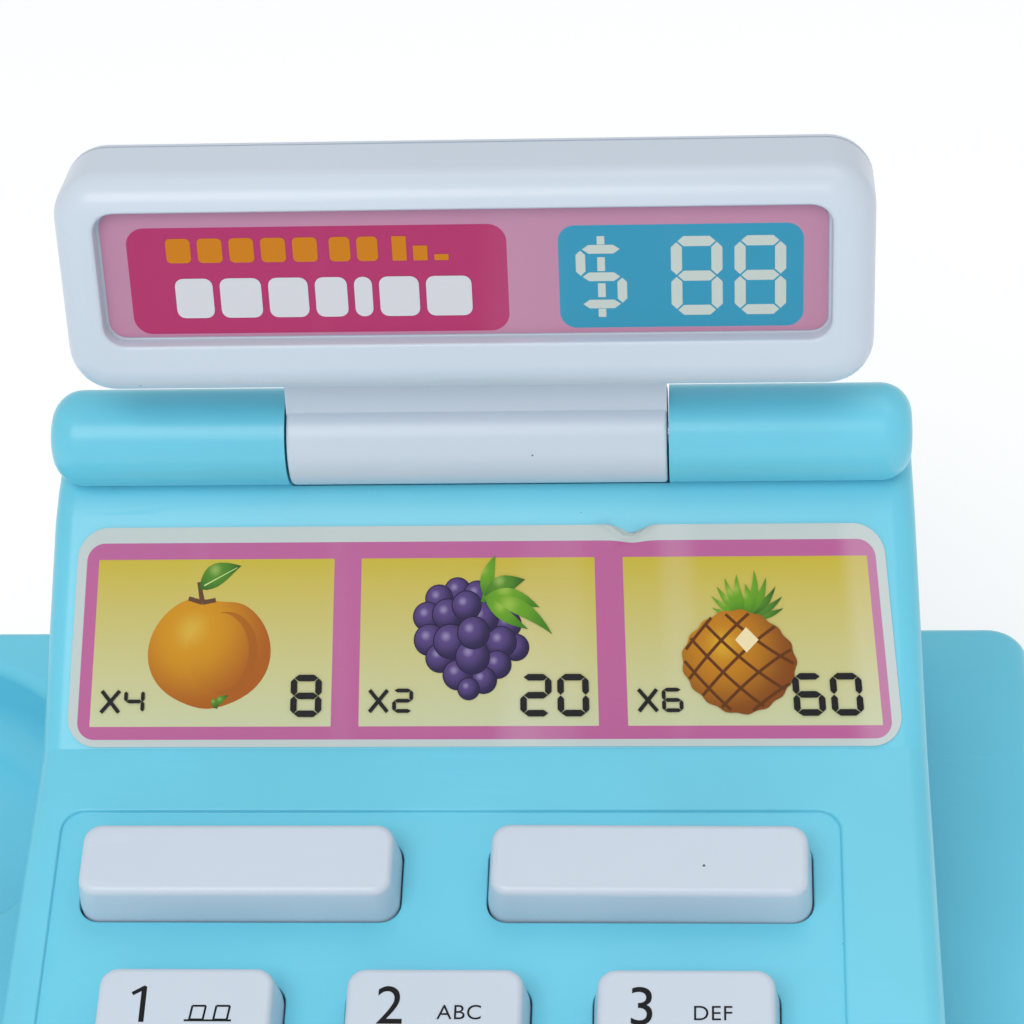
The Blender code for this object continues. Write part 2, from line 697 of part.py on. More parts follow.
def lower_screw_bosses():
    bosses, holes = bmesh.new(), bmesh.new()
    for place in case_screw_places(0):
        add_cylinder(bosses, CASE_BOSS_RADIUS, FLOOR_TOP - WALL / 2, PARTING_HEIGHT, place, 14)
        add_cylinder(holes, SCREW_RADIUS + GAP, FOOT_HEIGHT - WALL, PARTING_HEIGHT + WALL, place, 12)
    return make_tool("lower_screw_bosses", bosses), make_tool("lower_screw_holes", holes)


def case_head_seat():
    """Height of the shoulder inside each lower boss that the case screw's head pulls against."""
    return PARTING_HEIGHT + SKIRT_HEIGHT / 2 - CASE_SCREW_LENGTH


def screw_head_wells():
    bm = bmesh.new()
    for place in case_screw_places(0):
        add_cylinder(bm, SCREW_HEAD_RADIUS + GAP, FOOT_HEIGHT - WALL, case_head_seat(), place, 14)
    return make_tool("screw_head_wells", bm)


def speaker_ring_tools():
    place = Matrix.Translation((SPEAKER_X, SPEAKER_Y, 0))
    outer = SPEAKER_RADIUS + GAP + SPEAKER_RING
    ring = cylinder_tool("speaker_ring", outer, FLOOR_TOP - WALL / 2, FLOOR_TOP + 4 * MM, place, 24)
    well = cylinder_tool("speaker_well", SPEAKER_RADIUS + GAP, FLOOR_TOP, FLOOR_TOP + 2 * SPEAKER_HEIGHT, place, 24)
    return ring, well


def speaker_slots():
    bm = bmesh.new()
    for k in range(SPEAKER_SLOTS):
        y = (k - (SPEAKER_SLOTS - 1) / 2) * SPEAKER_SLOT_PITCH
        half = math.sqrt((SPEAKER_RADIUS * 0.8) ** 2 - y**2)
        add_box(
            bm,
            (SPEAKER_X - half, SPEAKER_Y + y - 1 * MM, FOOT_HEIGHT - WALL),
            (SPEAKER_X + half, SPEAKER_Y + y + 1 * MM, FLOOR_TOP + WALL),
        )
    return make_tool("speaker_slots", bm)


def foot_places():
    return mirrored_places(BODY_WIDTH / 2 - FOOT_INSET, BODY_DEPTH / 2 - FOOT_INSET / 2 - 1.5 * MM, 0)


def foot_sockets():
    bm = bmesh.new()
    for place in foot_places():
        add_cylinder(bm, FOOT_RADIUS + GAP, FOOT_HEIGHT - WALL, FOOT_HEIGHT + FOOT_SINK + GAP, place, 16)
    return make_tool("foot_sockets", bm)


def build_base_shell():
    half_depth = (BODY_BACK - BASE_FRONT) / 2
    centre_y = (BODY_BACK + BASE_FRONT) / 2
    middle = Matrix.Translation((0, centre_y, 0))
    outside, inside = bmesh.new(), bmesh.new()
    add_loft(
        outside,
        soft_rings(BODY_WIDTH / 2, half_depth, BODY_CORNER, FOOT_HEIGHT, PARTING_HEIGHT, low_round=1.2 * MM),
        middle,
    )
    add_loft(
        inside,
        soft_rings(BODY_WIDTH / 2 - WALL, half_depth - WALL, BODY_CORNER - WALL / 2, FLOOR_TOP, PARTING_HEIGHT + WALL),
        middle,
    )
    shell = make_node("base_shell", outside, SKY_BLUE)
    combine(shell, "DIFFERENCE", make_tool("base_hollow", inside))
    battery_walls, battery_room = battery_box()
    hatch_boss, hatch_bore, ear_pocket = hatch_tab_tools()
    latch_post, latch_bore = latch_post_tools()
    bosses, boss_holes = lower_screw_bosses()
    ring, well = speaker_ring_tools()
    combine(shell, "UNION", battery_walls, hatch_boss, drawer_rails(), drawer_guides(), latch_post, bosses, ring)
    combine(
        shell, "DIFFERENCE", battery_room, hatch_bore, ear_pocket, latch_bore, boss_holes, screw_head_wells(),
        well, speaker_slots(), foot_sockets(), drawer_mouth(),
    )
    return shell


def build_battery_cover():
    """Flat hatch that fills the floor opening, with an ear for its screw."""
    half = BATTERY_INNER_LENGTH / 2 - GAP
    back = BATTERY_BACK - BATTERY_WALL - GAP
    front = back - BATTERY_INNER_DEPTH + 2 * GAP
    bm = bmesh.new()
    add_box(bm, (BATTERY_BOX_X - half, front, FOOT_HEIGHT), (BATTERY_BOX_X + half, back, FLOOR_TOP - GAP))
    cover = make_node("battery_cover", bm, SKY_BLUE)
    ear = box_tool("cover_ear", *hatch_ear(0, FOOT_HEIGHT, FOOT_HEIGHT + WALL / 2))
    hole = cylinder_tool(
        "cover_screw_hole", SMALL_SCREW_RADIUS + GAP, FOOT_HEIGHT - WALL, FLOOR_TOP, hatch_screw_place(), 10
    )
    combine(cover, "UNION", ear)
    combine(cover, "DIFFERENCE", hole)


def build_feet():
    for index, place in enumerate(foot_places(), 1):
        bm = bmesh.new()
        top = FOOT_HEIGHT + FOOT_SINK
        rings = [circle(FOOT_RADIUS * 0.86, 0, 16), circle(FOOT_RADIUS, 0.8 * MM, 16), circle(FOOT_RADIUS, top, 16)]
        add_loft(bm, rings)
        make_node(f"foot_{index}", bm, RUBBER, place)


# Fasteners


def screw_mesh(radius, head_radius, head_height, length):
    """A screw whose head stands on its own origin and whose shank points up."""
    bm = bmesh.new()
    rings = [
        circle(head_radius * 0.75, -head_height, 12),
        circle(head_radius, -head_height * 0.55, 12),
        circle(head_radius, 0, 12),
        circle(radius, 0, 12),
        circle(radius, length - radius, 12),
        circle(radius * 0.3, length, 12),
    ]
    add_loft(bm, rings)
    return bm


def make_screw(name, place, small=False):
    if small:
        bm = screw_mesh(SMALL_SCREW_RADIUS, SMALL_HEAD_RADIUS, SMALL_HEAD_HEIGHT, SMALL_SCREW_LENGTH)
    else:
        bm = screw_mesh(SCREW_RADIUS, SCREW_HEAD_RADIUS, SCREW_HEAD_HEIGHT, CASE_SCREW_LENGTH)
    make_node(name, bm, STEEL, place)


def build_screws():
    for index, place in enumerate(case_screw_places(case_head_seat() - GAP), 1):
        make_screw(f"case_screw_{index}", place)
    cover_seat = Matrix.Translation((0, 0, FOOT_HEIGHT - GAP))
    make_screw("cover_screw", hatch_screw_place() @ cover_seat, small=True)
    for index, (x, v) in enumerate(board_post_places(), 1):
        make_screw(f"board_screw_{index}", keypad_at(x, v, -BOARD_DROP - BOARD_THICKNESS - GAP), small=True)


# Keys


def key_mesh(width, height, travel_room=0.0):
    """A hollow key cap with a flange under the panel and a plunger in its middle."""
    top = KEY_STANDS
    flange_top = PANEL_UNDERSIDE - GAP
    flange_low = flange_top - KEY_FLANGE
    corner = KEY_CORNER - CLEARANCE / 2
    outer = width / 2 + KEY_FLANGE
    outer_v = height / 2 + KEY_FLANGE
    rings = [rounded_rectangle(outer, outer_v, corner, h, 2) for h in (flange_low, flange_top)]
    for inset, h in (
        (0, flange_top),
        (KEY_DRAFT, top - KEY_ROUND),
        (KEY_DRAFT + KEY_ROUND * 0.3, top - KEY_ROUND * 0.3),
        (KEY_DRAFT + KEY_ROUND, top),
    ):
        rings.append(rounded_rectangle(width / 2 - inset, height / 2 - inset, corner, h, 2))
    bm = bmesh.new()
    add_loft(bm, rings)
    return bm


def key_hollow(name, width, height):
    """The cutter for the room inside a key, round its plunger."""
    low = PANEL_UNDERSIDE - GAP - KEY_FLANGE
    inset = KEY_WALL + KEY_DRAFT
    bm = bmesh.new()
    add_box(bm, (-width / 2 + inset, -height / 2 + inset, low - WALL), (width / 2 - inset, height / 2 - inset, KEY_STANDS - KEY_WALL))
    room = make_tool(f"{name}_room", bm)
    plunger = cylinder_tool(f"{name}_plunger", PLUNGER_RADIUS, low, KEY_STANDS - KEY_WALL / 2, Matrix.Identity(4), 10)
    return room, plunger


def build_number_keys():
    room, plunger = key_hollow("number_key", KEY_WIDTH, KEY_HEIGHT)
    pattern = make_object("number_key_pattern", key_mesh(KEY_WIDTH, KEY_HEIGHT))
    combine(pattern, "DIFFERENCE", room)
    combine(pattern, "UNION", plunger)
    shared = settled_mesh(pattern)
    for name, x, v in number_key_places():
        key = bpy.data.objects.new(f"key_{name}", shared)
        key.matrix_world = keypad_at(x, v)
        bpy.context.scene.collection.objects.link(key)


def settled_mesh(pattern):
    """The mesh that an object's modifiers make, for copies to share. The pattern object is removed."""
    graph = bpy.context.evaluated_depsgraph_get()
    mesh = bpy.data.meshes.new_from_object(pattern.evaluated_get(graph))
    mesh.materials.clear()
    mesh.materials.append(material(WHITE))
    mesh.shade_smooth()
    mesh.set_sharp_from_angle(angle=math.radians(40))
    bpy.data.objects.remove(pattern)
    return mesh


def build_wide_keys():
    """The left wide key works a switch on the board; the right one has a long stem that frees the drawer."""
    for side, name in ((-1, "wide_key_left"), (1, "drawer_release_key")):
        place = keypad_at(KEYPAD_X + side * WIDE_KEY_SPACING / 2, WIDE_KEY_V)
        key = make_node(name, key_mesh(WIDE_KEY_WIDTH, WIDE_KEY_HEIGHT), WHITE, place)
        room, plunger = key_hollow(name, WIDE_KEY_WIDTH, WIDE_KEY_HEIGHT)
        room.matrix_world = place
        plunger.matrix_world = place
        combine(key, "DIFFERENCE", room)
        if side < 0:
            combine(key, "UNION", plunger)
        else:
            combine(key, "UNION", release_stem(place))


def release_stem(place):
    """The stem from the release key's roof down to just above the latch."""
    top = place @ Vector((STEM_OFFSET, 0, 0))
    tilt_drop = STEM_RADIUS * math.sin(KEYPAD_SLOPE)
    reach = (top.z - LATCH_LOW - LATCH_THICKNESS - GAP - tilt_drop) / math.cos(KEYPAD_SLOPE)
    return cylinder_tool(
        "release_stem", STEM_RADIUS, -reach, KEY_STANDS - KEY_WALL / 2, place @ Matrix.Translation((STEM_OFFSET, 0, 0)), 12
    )


# Labels


def build_labels():
    bm = bmesh.new()
    low = LABEL_LIFT
    rings = [
        rounded_rectangle(LABEL_WIDTH / 2, LABEL_HEIGHT / 2, LABEL_CORNER, h, 3) for h in (low, low + LABEL_THICKNESS)
    ]
    add_loft(bm, rings)
    for vertex in bm.verts:
        rise = vertex.co.y / LABEL_HEIGHT + 0.5
        vertex.co.x *= 1 + (LABEL_TOP_WIDTH / LABEL_WIDTH - 1) * rise
    middle = Matrix.Translation((0, LABEL_PANEL / 2 - 0.6 * MM, 0))
    make_node("price_label", bm, LABEL_PRINT, LABEL_FRAME @ middle)

    bm = bmesh.new()
    half_x = WINDOW_WIDTH / 2 - GAP
    half_z = WINDOW_HEIGHT / 2 - GAP
    rings = [rounded_rectangle(half_x, half_z, WINDOW_CORNER, h, 3) for h in (0, LABEL_THICKNESS)]
    add_loft(bm, rings, window_offset())
    floor = DISPLAY_FACE + WINDOW_DEPTH - LABEL_LIFT
    make_node("display_label", bm, DISPLAY_PRINT, window_frame(floor))


def window_frame(depth):
    """A frame in the middle of the display's window whose +Z faces the user."""
    middle = DISPLAY_RISE + DISPLAY_HEIGHT / 2
    return DISPLAY_FRAME @ Matrix.Translation((0, depth, middle)) @ UPRIGHT


def window_offset():
    """The window's middle, above the middle of the display's face."""
    return Matrix.Translation((0, WINDOW_RISE, 0))


# Display


def build_display_case():
    """Front housing with the window, its neck and the middle hinge barrel, open at the back."""
    bm = bmesh.new()
    half_x, half_z = DISPLAY_WIDTH / 2, DISPLAY_HEIGHT / 2
    back = -DISPLAY_THICKNESS + DISPLAY_WALL
    rings = soft_rings(half_x, half_z, DISPLAY_CORNER, back, 0, top_round=DISPLAY_ROUND, steps=3, arc=3)
    add_loft(bm, rings)
    case = make_node("display_case", bm, WHITE, window_frame(DISPLAY_FACE))
    combine(case, "DIFFERENCE", window_tool(), display_room())
    combine(case, "UNION", display_neck(), display_barrel(), display_screw_bosses())
    axis = along_x(CONSOLE_X, HINGE_Y, HINGE_Z)
    bore = cylinder_tool("display_pin_bore", PIN_RADIUS + GAP / 2, -DISPLAY_BARREL, DISPLAY_BARREL, axis, 12)
    combine(case, "DIFFERENCE", bore, display_screw_holes())


def window_tool():
    bm = bmesh.new()
    rings = [
        rounded_rectangle(WINDOW_WIDTH / 2, WINDOW_HEIGHT / 2, WINDOW_CORNER, h, 3)
        for h in (-WINDOW_DEPTH, DISPLAY_WALL)
    ]
    add_loft(bm, rings, window_offset())
    return make_tool("display_window", bm, window_frame(DISPLAY_FACE))


def display_room():
    half_x = DISPLAY_WIDTH / 2 - 2 * DISPLAY_WALL
    half_z = DISPLAY_HEIGHT / 2 - DISPLAY_WALL
    bm = bmesh.new()
    low = -DISPLAY_THICKNESS
    high = -WINDOW_DEPTH - DISPLAY_WALL
    add_loft(bm, [rounded_rectangle(half_x, half_z, DISPLAY_CORNER / 2, h, 2) for h in (low, high)])
    return make_tool("display_room", bm, window_frame(DISPLAY_FACE))


def display_neck():
    half = DISPLAY_BARREL / 2
    back = DISPLAY_FACE + DISPLAY_THICKNESS - DISPLAY_WALL - GAP
    return box_tool(
        "display_neck",
        (-half, back - NECK_THICKNESS, BARREL_RADIUS * 0.4),
        (half, back, DISPLAY_RISE + DISPLAY_WALL / 2),
        DISPLAY_FRAME,
    )


def display_barrel():
    half = DISPLAY_BARREL / 2
    return cylinder_tool("display_barrel", BARREL_RADIUS, -half, half, along_x(CONSOLE_X, HINGE_Y, HINGE_Z), 24)


def display_screw_xs():
    return [side * DISPLAY_WIDTH * 0.36 for side in (-1, 1)]


def display_screw_bosses():
    bm = bmesh.new()
    for x in display_screw_xs():
        low = -DISPLAY_THICKNESS + DISPLAY_WALL
        add_cylinder(bm, POST_RADIUS, low, -WINDOW_DEPTH - DISPLAY_WALL / 2, Matrix.Translation((x, 0, 0)), 10)
    return make_tool("display_screw_bosses", bm, window_frame(DISPLAY_FACE))


def display_screw_holes():
    bm = bmesh.new()
    for x in display_screw_xs():
        place = Matrix.Translation((x, 0, 0))
        add_cylinder(bm, SMALL_SCREW_RADIUS + GAP, -DISPLAY_THICKNESS, -WINDOW_DEPTH - DISPLAY_WALL - GAP, place, 10)
    return make_tool("display_screw_holes", bm, window_frame(DISPLAY_FACE))


def build_display_back():
    """Rear cover of the display, held by two screws."""
    bm = bmesh.new()
    half_x, half_z = DISPLAY_WIDTH / 2, DISPLAY_HEIGHT / 2
    rings = soft_rings(
        half_x, half_z, DISPLAY_CORNER, -DISPLAY_THICKNESS, -DISPLAY_THICKNESS + DISPLAY_WALL - GAP, low_round=1.2 * MM
    )
    add_loft(bm, rings)
    cover = make_node("display_back", bm, WHITE, window_frame(DISPLAY_FACE))
    holes = bmesh.new()
    for x in display_screw_xs():
        add_cylinder(
            holes, SMALL_SCREW_RADIUS + GAP, -2 * DISPLAY_THICKNESS, 0, Matrix.Translation((x, 0, 0)), 10
        )
    combine(cover, "DIFFERENCE", make_tool("display_back_holes", holes, window_frame(DISPLAY_FACE)))
    for index, x in enumerate(display_screw_xs(), 1):
        seat = Matrix.Translation((x, 0, -DISPLAY_THICKNESS - GAP))
        make_screw(f"display_screw_{index}", window_frame(DISPLAY_FACE) @ seat, small=True)


def build_hinge_pin():
    bm = bmesh.new()
    add_cylinder(bm, PIN_RADIUS, -PIN_LENGTH / 2, PIN_LENGTH / 2, sides=12)
    make_node("hinge_pin", bm, STEEL, along_x(CONSOLE_X, HINGE_Y, HINGE_Z))


# Drawer


def build_drawer_tray():
    bm = bmesh.new()
    add_box(bm, (-TRAY_HALF, TRAY_FRONT, TRAY_BOTTOM), (TRAY_HALF, TRAY_BACK, TRAY_TOP))
    tray = make_node("drawer_tray", bm, WHITE)
    rooms = bmesh.new()
    floor = TRAY_BOTTOM + DRAWER_WALL
    cup_width = (2 * TRAY_HALF - DRAWER_WALL * (COIN_CUPS + 1)) / COIN_CUPS
    coin_back = TRAY_FRONT + DRAWER_WALL + COIN_ROW
    for k in range(COIN_CUPS):
        left = -TRAY_HALF + DRAWER_WALL + k * (cup_width + DRAWER_WALL)
        add_box(rooms, (left, TRAY_FRONT + DRAWER_WALL, floor), (left + cup_width, coin_back, TRAY_TOP + WALL))
    add_box(
        rooms,
        (-TRAY_HALF + DRAWER_WALL, coin_back + DRAWER_WALL, floor),
        (TRAY_HALF - DRAWER_WALL, TRAY_BACK - DRAWER_WALL, TRAY_TOP + WALL),
    )
    combine(tray, "DIFFERENCE", make_tool("drawer_rooms", rooms))
    combine(tray, "UNION", catch_tool())


def catch_tool():
    """The hook on the tray's back wall: a tab, a flange to the rear and a lip that hangs from it."""
    left = latch_left() - 1.5 * MM
    right = latch_left() + LATCH_NOSE_WIDTH + 1.5 * MM
    top = CATCH_UNDERSIDE + CATCH_THICKNESS
    wall = TRAY_BACK - DRAWER_WALL
    end = TRAY_BACK + CATCH_REACH
    outline = [
        (wall, TRAY_TOP - 4 * MM),
        (TRAY_BACK, TRAY_TOP - 4 * MM),
        (TRAY_BACK, top - CATCH_THICKNESS),
        (end - CATCH_THICKNESS, top - CATCH_THICKNESS),
        (end - CATCH_THICKNESS, top - CATCH_THICKNESS - CATCH_LIP),
        (end, top - CATCH_THICKNESS - CATCH_LIP),
        (end, top),
        (wall, top),
    ]
    bm = bmesh.new()
    add_prism(bm, outline, left, right)
    return make_tool("drawer_catch", bm)


def build_drawer_front():
    bm = bmesh.new()
    half_x = BODY_WIDTH / 2 - DRAWER_FRONT_INSET
    low, high = FOOT_HEIGHT + 1 * MM, PARTING_HEIGHT - 1 * MM
    half_z = (high - low) / 2
    rings = soft_rings(half_x, half_z, 3 * MM, 0, DRAWER_FRONT_THICKNESS, top_round=1.2 * MM)
    add_loft(bm, rings)
    place = Matrix.Translation((0, BODY_FRONT + DRAWER_FRONT_THICKNESS, (low + high) / 2)) @ UPRIGHT
    front = make_node("drawer_front", bm, WHITE, place)
    centre_y = BODY_FRONT - SCOOP_RADIUS + SCOOP_DEPTH
    scoop = cylinder_tool(
        "finger_scoop", SCOOP_RADIUS, -SCOOP_WIDTH / 2, SCOOP_WIDTH / 2, along_x(0, centre_y, (low + high) / 2), 24
    )
    combine(front, "DIFFERENCE", scoop)


def build_drawer_spring():
    back = BATTERY_BACK - 2 * BATTERY_WALL - BATTERY_INNER_DEPTH
    length = back - TRAY_BACK - 2 * GAP
    bm = bmesh.new()
    add_loft(bm, coil_rings(4 * MM, 0.45 * MM, length, 6))
    place = Matrix.Translation((BATTERY_BOX_X, TRAY_BACK + GAP, (TRAY_BOTTOM + TRAY_TOP) / 2))
    make_node("drawer_spring", bm, STEEL, place @ Matrix.Rotation(math.radians(-90), 4, "X"))


def build_latch():
    """A springy finger behind the drawer. Its nose stands in front of the drawer's lip until the stem bends it down."""
    lip_front = TRAY_BACK + CATCH_REACH - CATCH_THICKNESS
    nose_back, nose_front = lip_front - GAP, lip_front - GAP - LATCH_NOSE
    nose_top = CATCH_UNDERSIDE - GAP
    low, high = LATCH_LOW, LATCH_LOW + LATCH_THICKNESS
    end = LATCH_ROOT_Y + LATCH_POST / 2
    outline = [
        (nose_front, low), (end, low), (end, high), (nose_back, high), (nose_back, nose_top),
        (nose_front + LATCH_NOSE * 0.3, nose_top), (nose_front, nose_top - LATCH_NOSE * 0.3),
    ]
    left = latch_left()
    bm = bmesh.new()
    add_prism(bm, outline, left, left + LATCH_NOSE_WIDTH)
    latch = make_node("drawer_latch", bm, WHITE)
    plate = box_tool("latch_plate", (left + WALL, nose_front, low), (left + LATCH_WIDTH, end, high))
    hole = cylinder_tool("latch_hole", SMALL_SCREW_RADIUS + GAP, low - WALL, high + WALL, latch_screw_place(), 10)
    combine(latch, "UNION", plate)
    combine(latch, "DIFFERENCE", hole)
    seat = Matrix.Translation((0, 0, high + GAP)) @ Matrix.Rotation(math.radians(180), 4, "X")
    make_screw("latch_screw", latch_screw_place() @ seat, small=True)


# Electrics


def board_outline(grow=0.0):
    """Corners of the circuit board on the keypad panel, notched round the release key's stem."""
    left = RECESS_LEFT + KEY_WALL - grow
    right = RECESS_RIGHT - KEY_WALL + grow
    top = -(WIDE_KEY_V - WIDE_KEY_HEIGHT / 2) + grow
    bottom = -RECESS_BOTTOM + KEY_WALL - grow
    notch_x = KEYPAD_X + CLEARANCE
    notch_v = -(WIDE_KEY_V + WIDE_KEY_HEIGHT / 2 + KEY_FLANGE + CLEARANCE)
    return [(left, bottom), (right, bottom), (right, notch_v), (notch_x, notch_v), (notch_x, top), (left, top)]


def add_plate(bm, outline, low, high):
    add_loft(bm, [[Vector((x, y, h)) for x, y in outline] for h in (low, high)])


def switch_places():
    return [(x, v) for _, x, v in number_key_places()] + [(KEYPAD_X - WIDE_KEY_SPACING / 2, WIDE_KEY_V)]


def build_board():
    bm = bmesh.new()
    add_plate(bm, board_outline(), -BOARD_DROP - BOARD_THICKNESS, -BOARD_DROP)
    board = make_node("circuit_board", bm, BOARD_GREEN, KEYPAD_FRAME)
    holes = bmesh.new()
    for x, v in board_post_places():
        low, high = -BOARD_DROP - 2 * WALL, -BOARD_DROP + WALL
        add_cylinder(holes, SMALL_SCREW_RADIUS + GAP, low, high, Matrix.Translation((x, -v, 0)), 10)
    combine(board, "DIFFERENCE", make_tool("board_screw_holes", holes, KEYPAD_FRAME))
    chip = bmesh.new()
    x, v = KEYPAD_X, KEY_FIRST_V + KEY_PITCH_V / 2
    low = -BOARD_DROP - BOARD_THICKNESS - GAP
    add_loft(chip, [circle(3 * MM, low - 1.6 * MM, 12), circle(5 * MM, low, 12)], Matrix.Translation((x, -v, 0)))
    make_node("sound_chip", chip, BLACK, KEYPAD_FRAME)


def build_membrane():
    """Silicone sheet on the board, with a dome under each key that works a switch."""
    bm = bmesh.new()
    low = -BOARD_DROP + GAP
    add_plate(bm, board_outline(-KEY_WALL), low, low + MEMBRANE_THICKNESS)
    sheet = make_node("key_membrane", bm, SILICONE, KEYPAD_FRAME)
    domes, holes = bmesh.new(), bmesh.new()
    top = PANEL_UNDERSIDE - GAP - KEY_FLANGE - GAP
    for x, v in switch_places():
        rings = [
            circle(DOME_RADIUS, low + MEMBRANE_THICKNESS / 2, 10),
            circle(DOME_RADIUS, low + MEMBRANE_THICKNESS, 10),
            circle(PLUNGER_RADIUS, top, 10),
        ]
        add_loft(domes, rings, Matrix.Translation((x, -v, 0)))
    for x, v in board_post_places():
        add_cylinder(holes, POST_RADIUS + GAP, low - WALL, low + 2 * WALL, Matrix.Translation((x, -v, 0)), 10)
    combine(sheet, "UNION", make_tool("membrane_domes", domes, KEYPAD_FRAME))
    combine(sheet, "DIFFERENCE", make_tool("membrane_holes", holes, KEYPAD_FRAME))


def build_batteries():
    """Two cells that lie side by side, each between a contact plate and a spring."""
    z = FLOOR_TOP + CELL_RADIUS
    left = BATTERY_BOX_X - BATTERY_INNER_LENGTH / 2
    right = BATTERY_BOX_X + BATTERY_INNER_LENGTH / 2
    for k in range(CELLS):
        y = BATTERY_BACK - BATTERY_WALL - (k + 0.5) * (2 * CELL_RADIUS + CLEARANCE)
        flip = -1 if k % 2 else 1
        spring_end, plate_end = (left, right) if flip > 0 else (right, left)
        bm = bmesh.new()
        rings = [
            circle(CELL_RADIUS * 0.93, 0, 20), circle(CELL_RADIUS, 0.5 * MM, 20),
            circle(CELL_RADIUS, CELL_LENGTH - 0.5 * MM, 20), circle(CELL_RADIUS * 0.93, CELL_LENGTH, 20),
            circle(CELL_NUB_RADIUS, CELL_LENGTH, 20), circle(CELL_NUB_RADIUS, CELL_LENGTH + CELL_NUB, 20),
        ]
        add_loft(bm, rings)
        start = spring_end + flip * (CONTACT_THICKNESS + CELL_SPRING + GAP)
        face = Matrix.Rotation(math.radians(90) * flip, 4, "Y")
        make_node(f"battery_{k + 1}", bm, CELL_WRAP, Matrix.Translation((start, y, z)) @ face)
        bm = bmesh.new()
        add_loft(bm, coil_rings(3 * MM, 0.35 * MM, CELL_SPRING - GAP, 3, sides=4))
        spring = make_node(
            f"battery_spring_{k + 1}", bm, STEEL, Matrix.Translation((spring_end + flip * GAP, y, z)) @ face
        )
        spring.data.shade_smooth()
        half = CONTACT_SIZE / 2
        bm = bmesh.new()
        add_box(bm, (-half, -half, 0), (half, half, CONTACT_THICKNESS))
        seat = plate_end - flip * (GAP + CONTACT_THICKNESS)
        make_node(f"battery_contact_{k + 1}", bm, STEEL, Matrix.Translation((seat, y, z)) @ face)


def build_speaker():
    """Moving-coil speaker, face down on the floor: basket, magnet and back plate as one piece."""
    radii = [
        (SPEAKER_RADIUS, 0), (SPEAKER_RADIUS, 1 * MM), (SPEAKER_RADIUS * 0.9, 1.4 * MM),
        (SPEAKER_RADIUS * 0.55, 5 * MM), (SPEAKER_RADIUS * 0.5, 5 * MM), (SPEAKER_RADIUS * 0.5, SPEAKER_HEIGHT),
    ]
    bm = bmesh.new()
    add_loft(bm, [circle(radius, z, 24) for radius, z in radii])
    make_node("speaker", bm, BLACK, Matrix.Translation((SPEAKER_X, SPEAKER_Y, FLOOR_TOP + GAP)))


def clear_scene():
    for old in list(bpy.data.objects):
        bpy.data.objects.remove(old)


def main():
    clear_scene()
    build_top_shell()
    build_base_shell()
    build_battery_cover()
    build_feet()
    build_screws()
    build_number_keys()
    build_wide_keys()
    build_labels()
    build_display_case()
    build_display_back()
    build_hinge_pin()
    build_drawer_tray()
    build_drawer_front()
    build_drawer_spring()
    build_latch()
    build_board()
    build_membrane()
    build_batteries()
    build_speaker()


main()
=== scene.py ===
"""Toy cash register: the looks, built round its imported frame. Metres, +Z up, the user stands at -Y."""

import functools
import json
import math
import random

import bmesh
import bpy
from mathutils import Matrix, Vector


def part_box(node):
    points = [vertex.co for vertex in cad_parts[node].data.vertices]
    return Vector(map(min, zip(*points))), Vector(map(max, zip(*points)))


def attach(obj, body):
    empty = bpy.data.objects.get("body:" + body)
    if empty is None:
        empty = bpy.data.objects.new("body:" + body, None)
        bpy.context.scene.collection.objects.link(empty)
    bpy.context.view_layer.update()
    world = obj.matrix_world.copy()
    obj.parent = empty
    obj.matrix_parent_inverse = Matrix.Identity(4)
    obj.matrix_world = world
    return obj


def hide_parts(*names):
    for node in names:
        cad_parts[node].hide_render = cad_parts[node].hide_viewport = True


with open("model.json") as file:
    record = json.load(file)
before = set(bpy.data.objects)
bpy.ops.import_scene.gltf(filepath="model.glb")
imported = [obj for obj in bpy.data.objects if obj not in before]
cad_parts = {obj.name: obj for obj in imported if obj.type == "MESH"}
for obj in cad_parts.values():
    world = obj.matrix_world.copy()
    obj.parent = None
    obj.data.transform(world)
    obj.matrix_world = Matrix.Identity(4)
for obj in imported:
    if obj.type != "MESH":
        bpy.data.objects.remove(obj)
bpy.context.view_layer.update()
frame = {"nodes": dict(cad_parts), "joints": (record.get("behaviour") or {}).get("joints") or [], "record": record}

bl_info = {
    "name": "Toy Cash Register",
    "version": (1, 0, 0),
    "blender": (4, 5, 0),
    "location": "View3D > Sidebar > Till",
    "description": "Builds a toy cash register with its keypad, price label, tilting display and drawer",
    "category": "Object",
}

MM = 0.001
NODES = frame["nodes"]
HINGE = Vector(next(joint["pos_m"] for joint in frame["joints"] if joint["name"] == "display_tilt"))
QUARTER = math.radians(90)
# Period of the printed labels' dot screen
DOT_PITCH = 0.254 * MM
# Gap at each end of the display's hinge barrel
BARREL_GAP = 0.2 * MM
# How far a cutter stands clear of the keypad panel
ABOVE = 6 * MM
# How far the middle of a key's top lies below its edge
KEY_DISH = 0.04 * MM


# Properties


def length(name, description, millimetres):
    return bpy.props.FloatProperty(
        name=name, description=description, default=millimetres * MM, unit="LENGTH", precision=5
    )


def angle(name, description, degrees):
    return bpy.props.FloatProperty(name=name, description=description, default=math.radians(degrees), unit="ROTATION")


def colour(name, description, value):
    return bpy.props.FloatVectorProperty(
        name=name, description=description, default=value, size=3, min=0, max=1, subtype="COLOR"
    )


def amount(name, description, value):
    return bpy.props.FloatProperty(name=name, description=description, default=value)


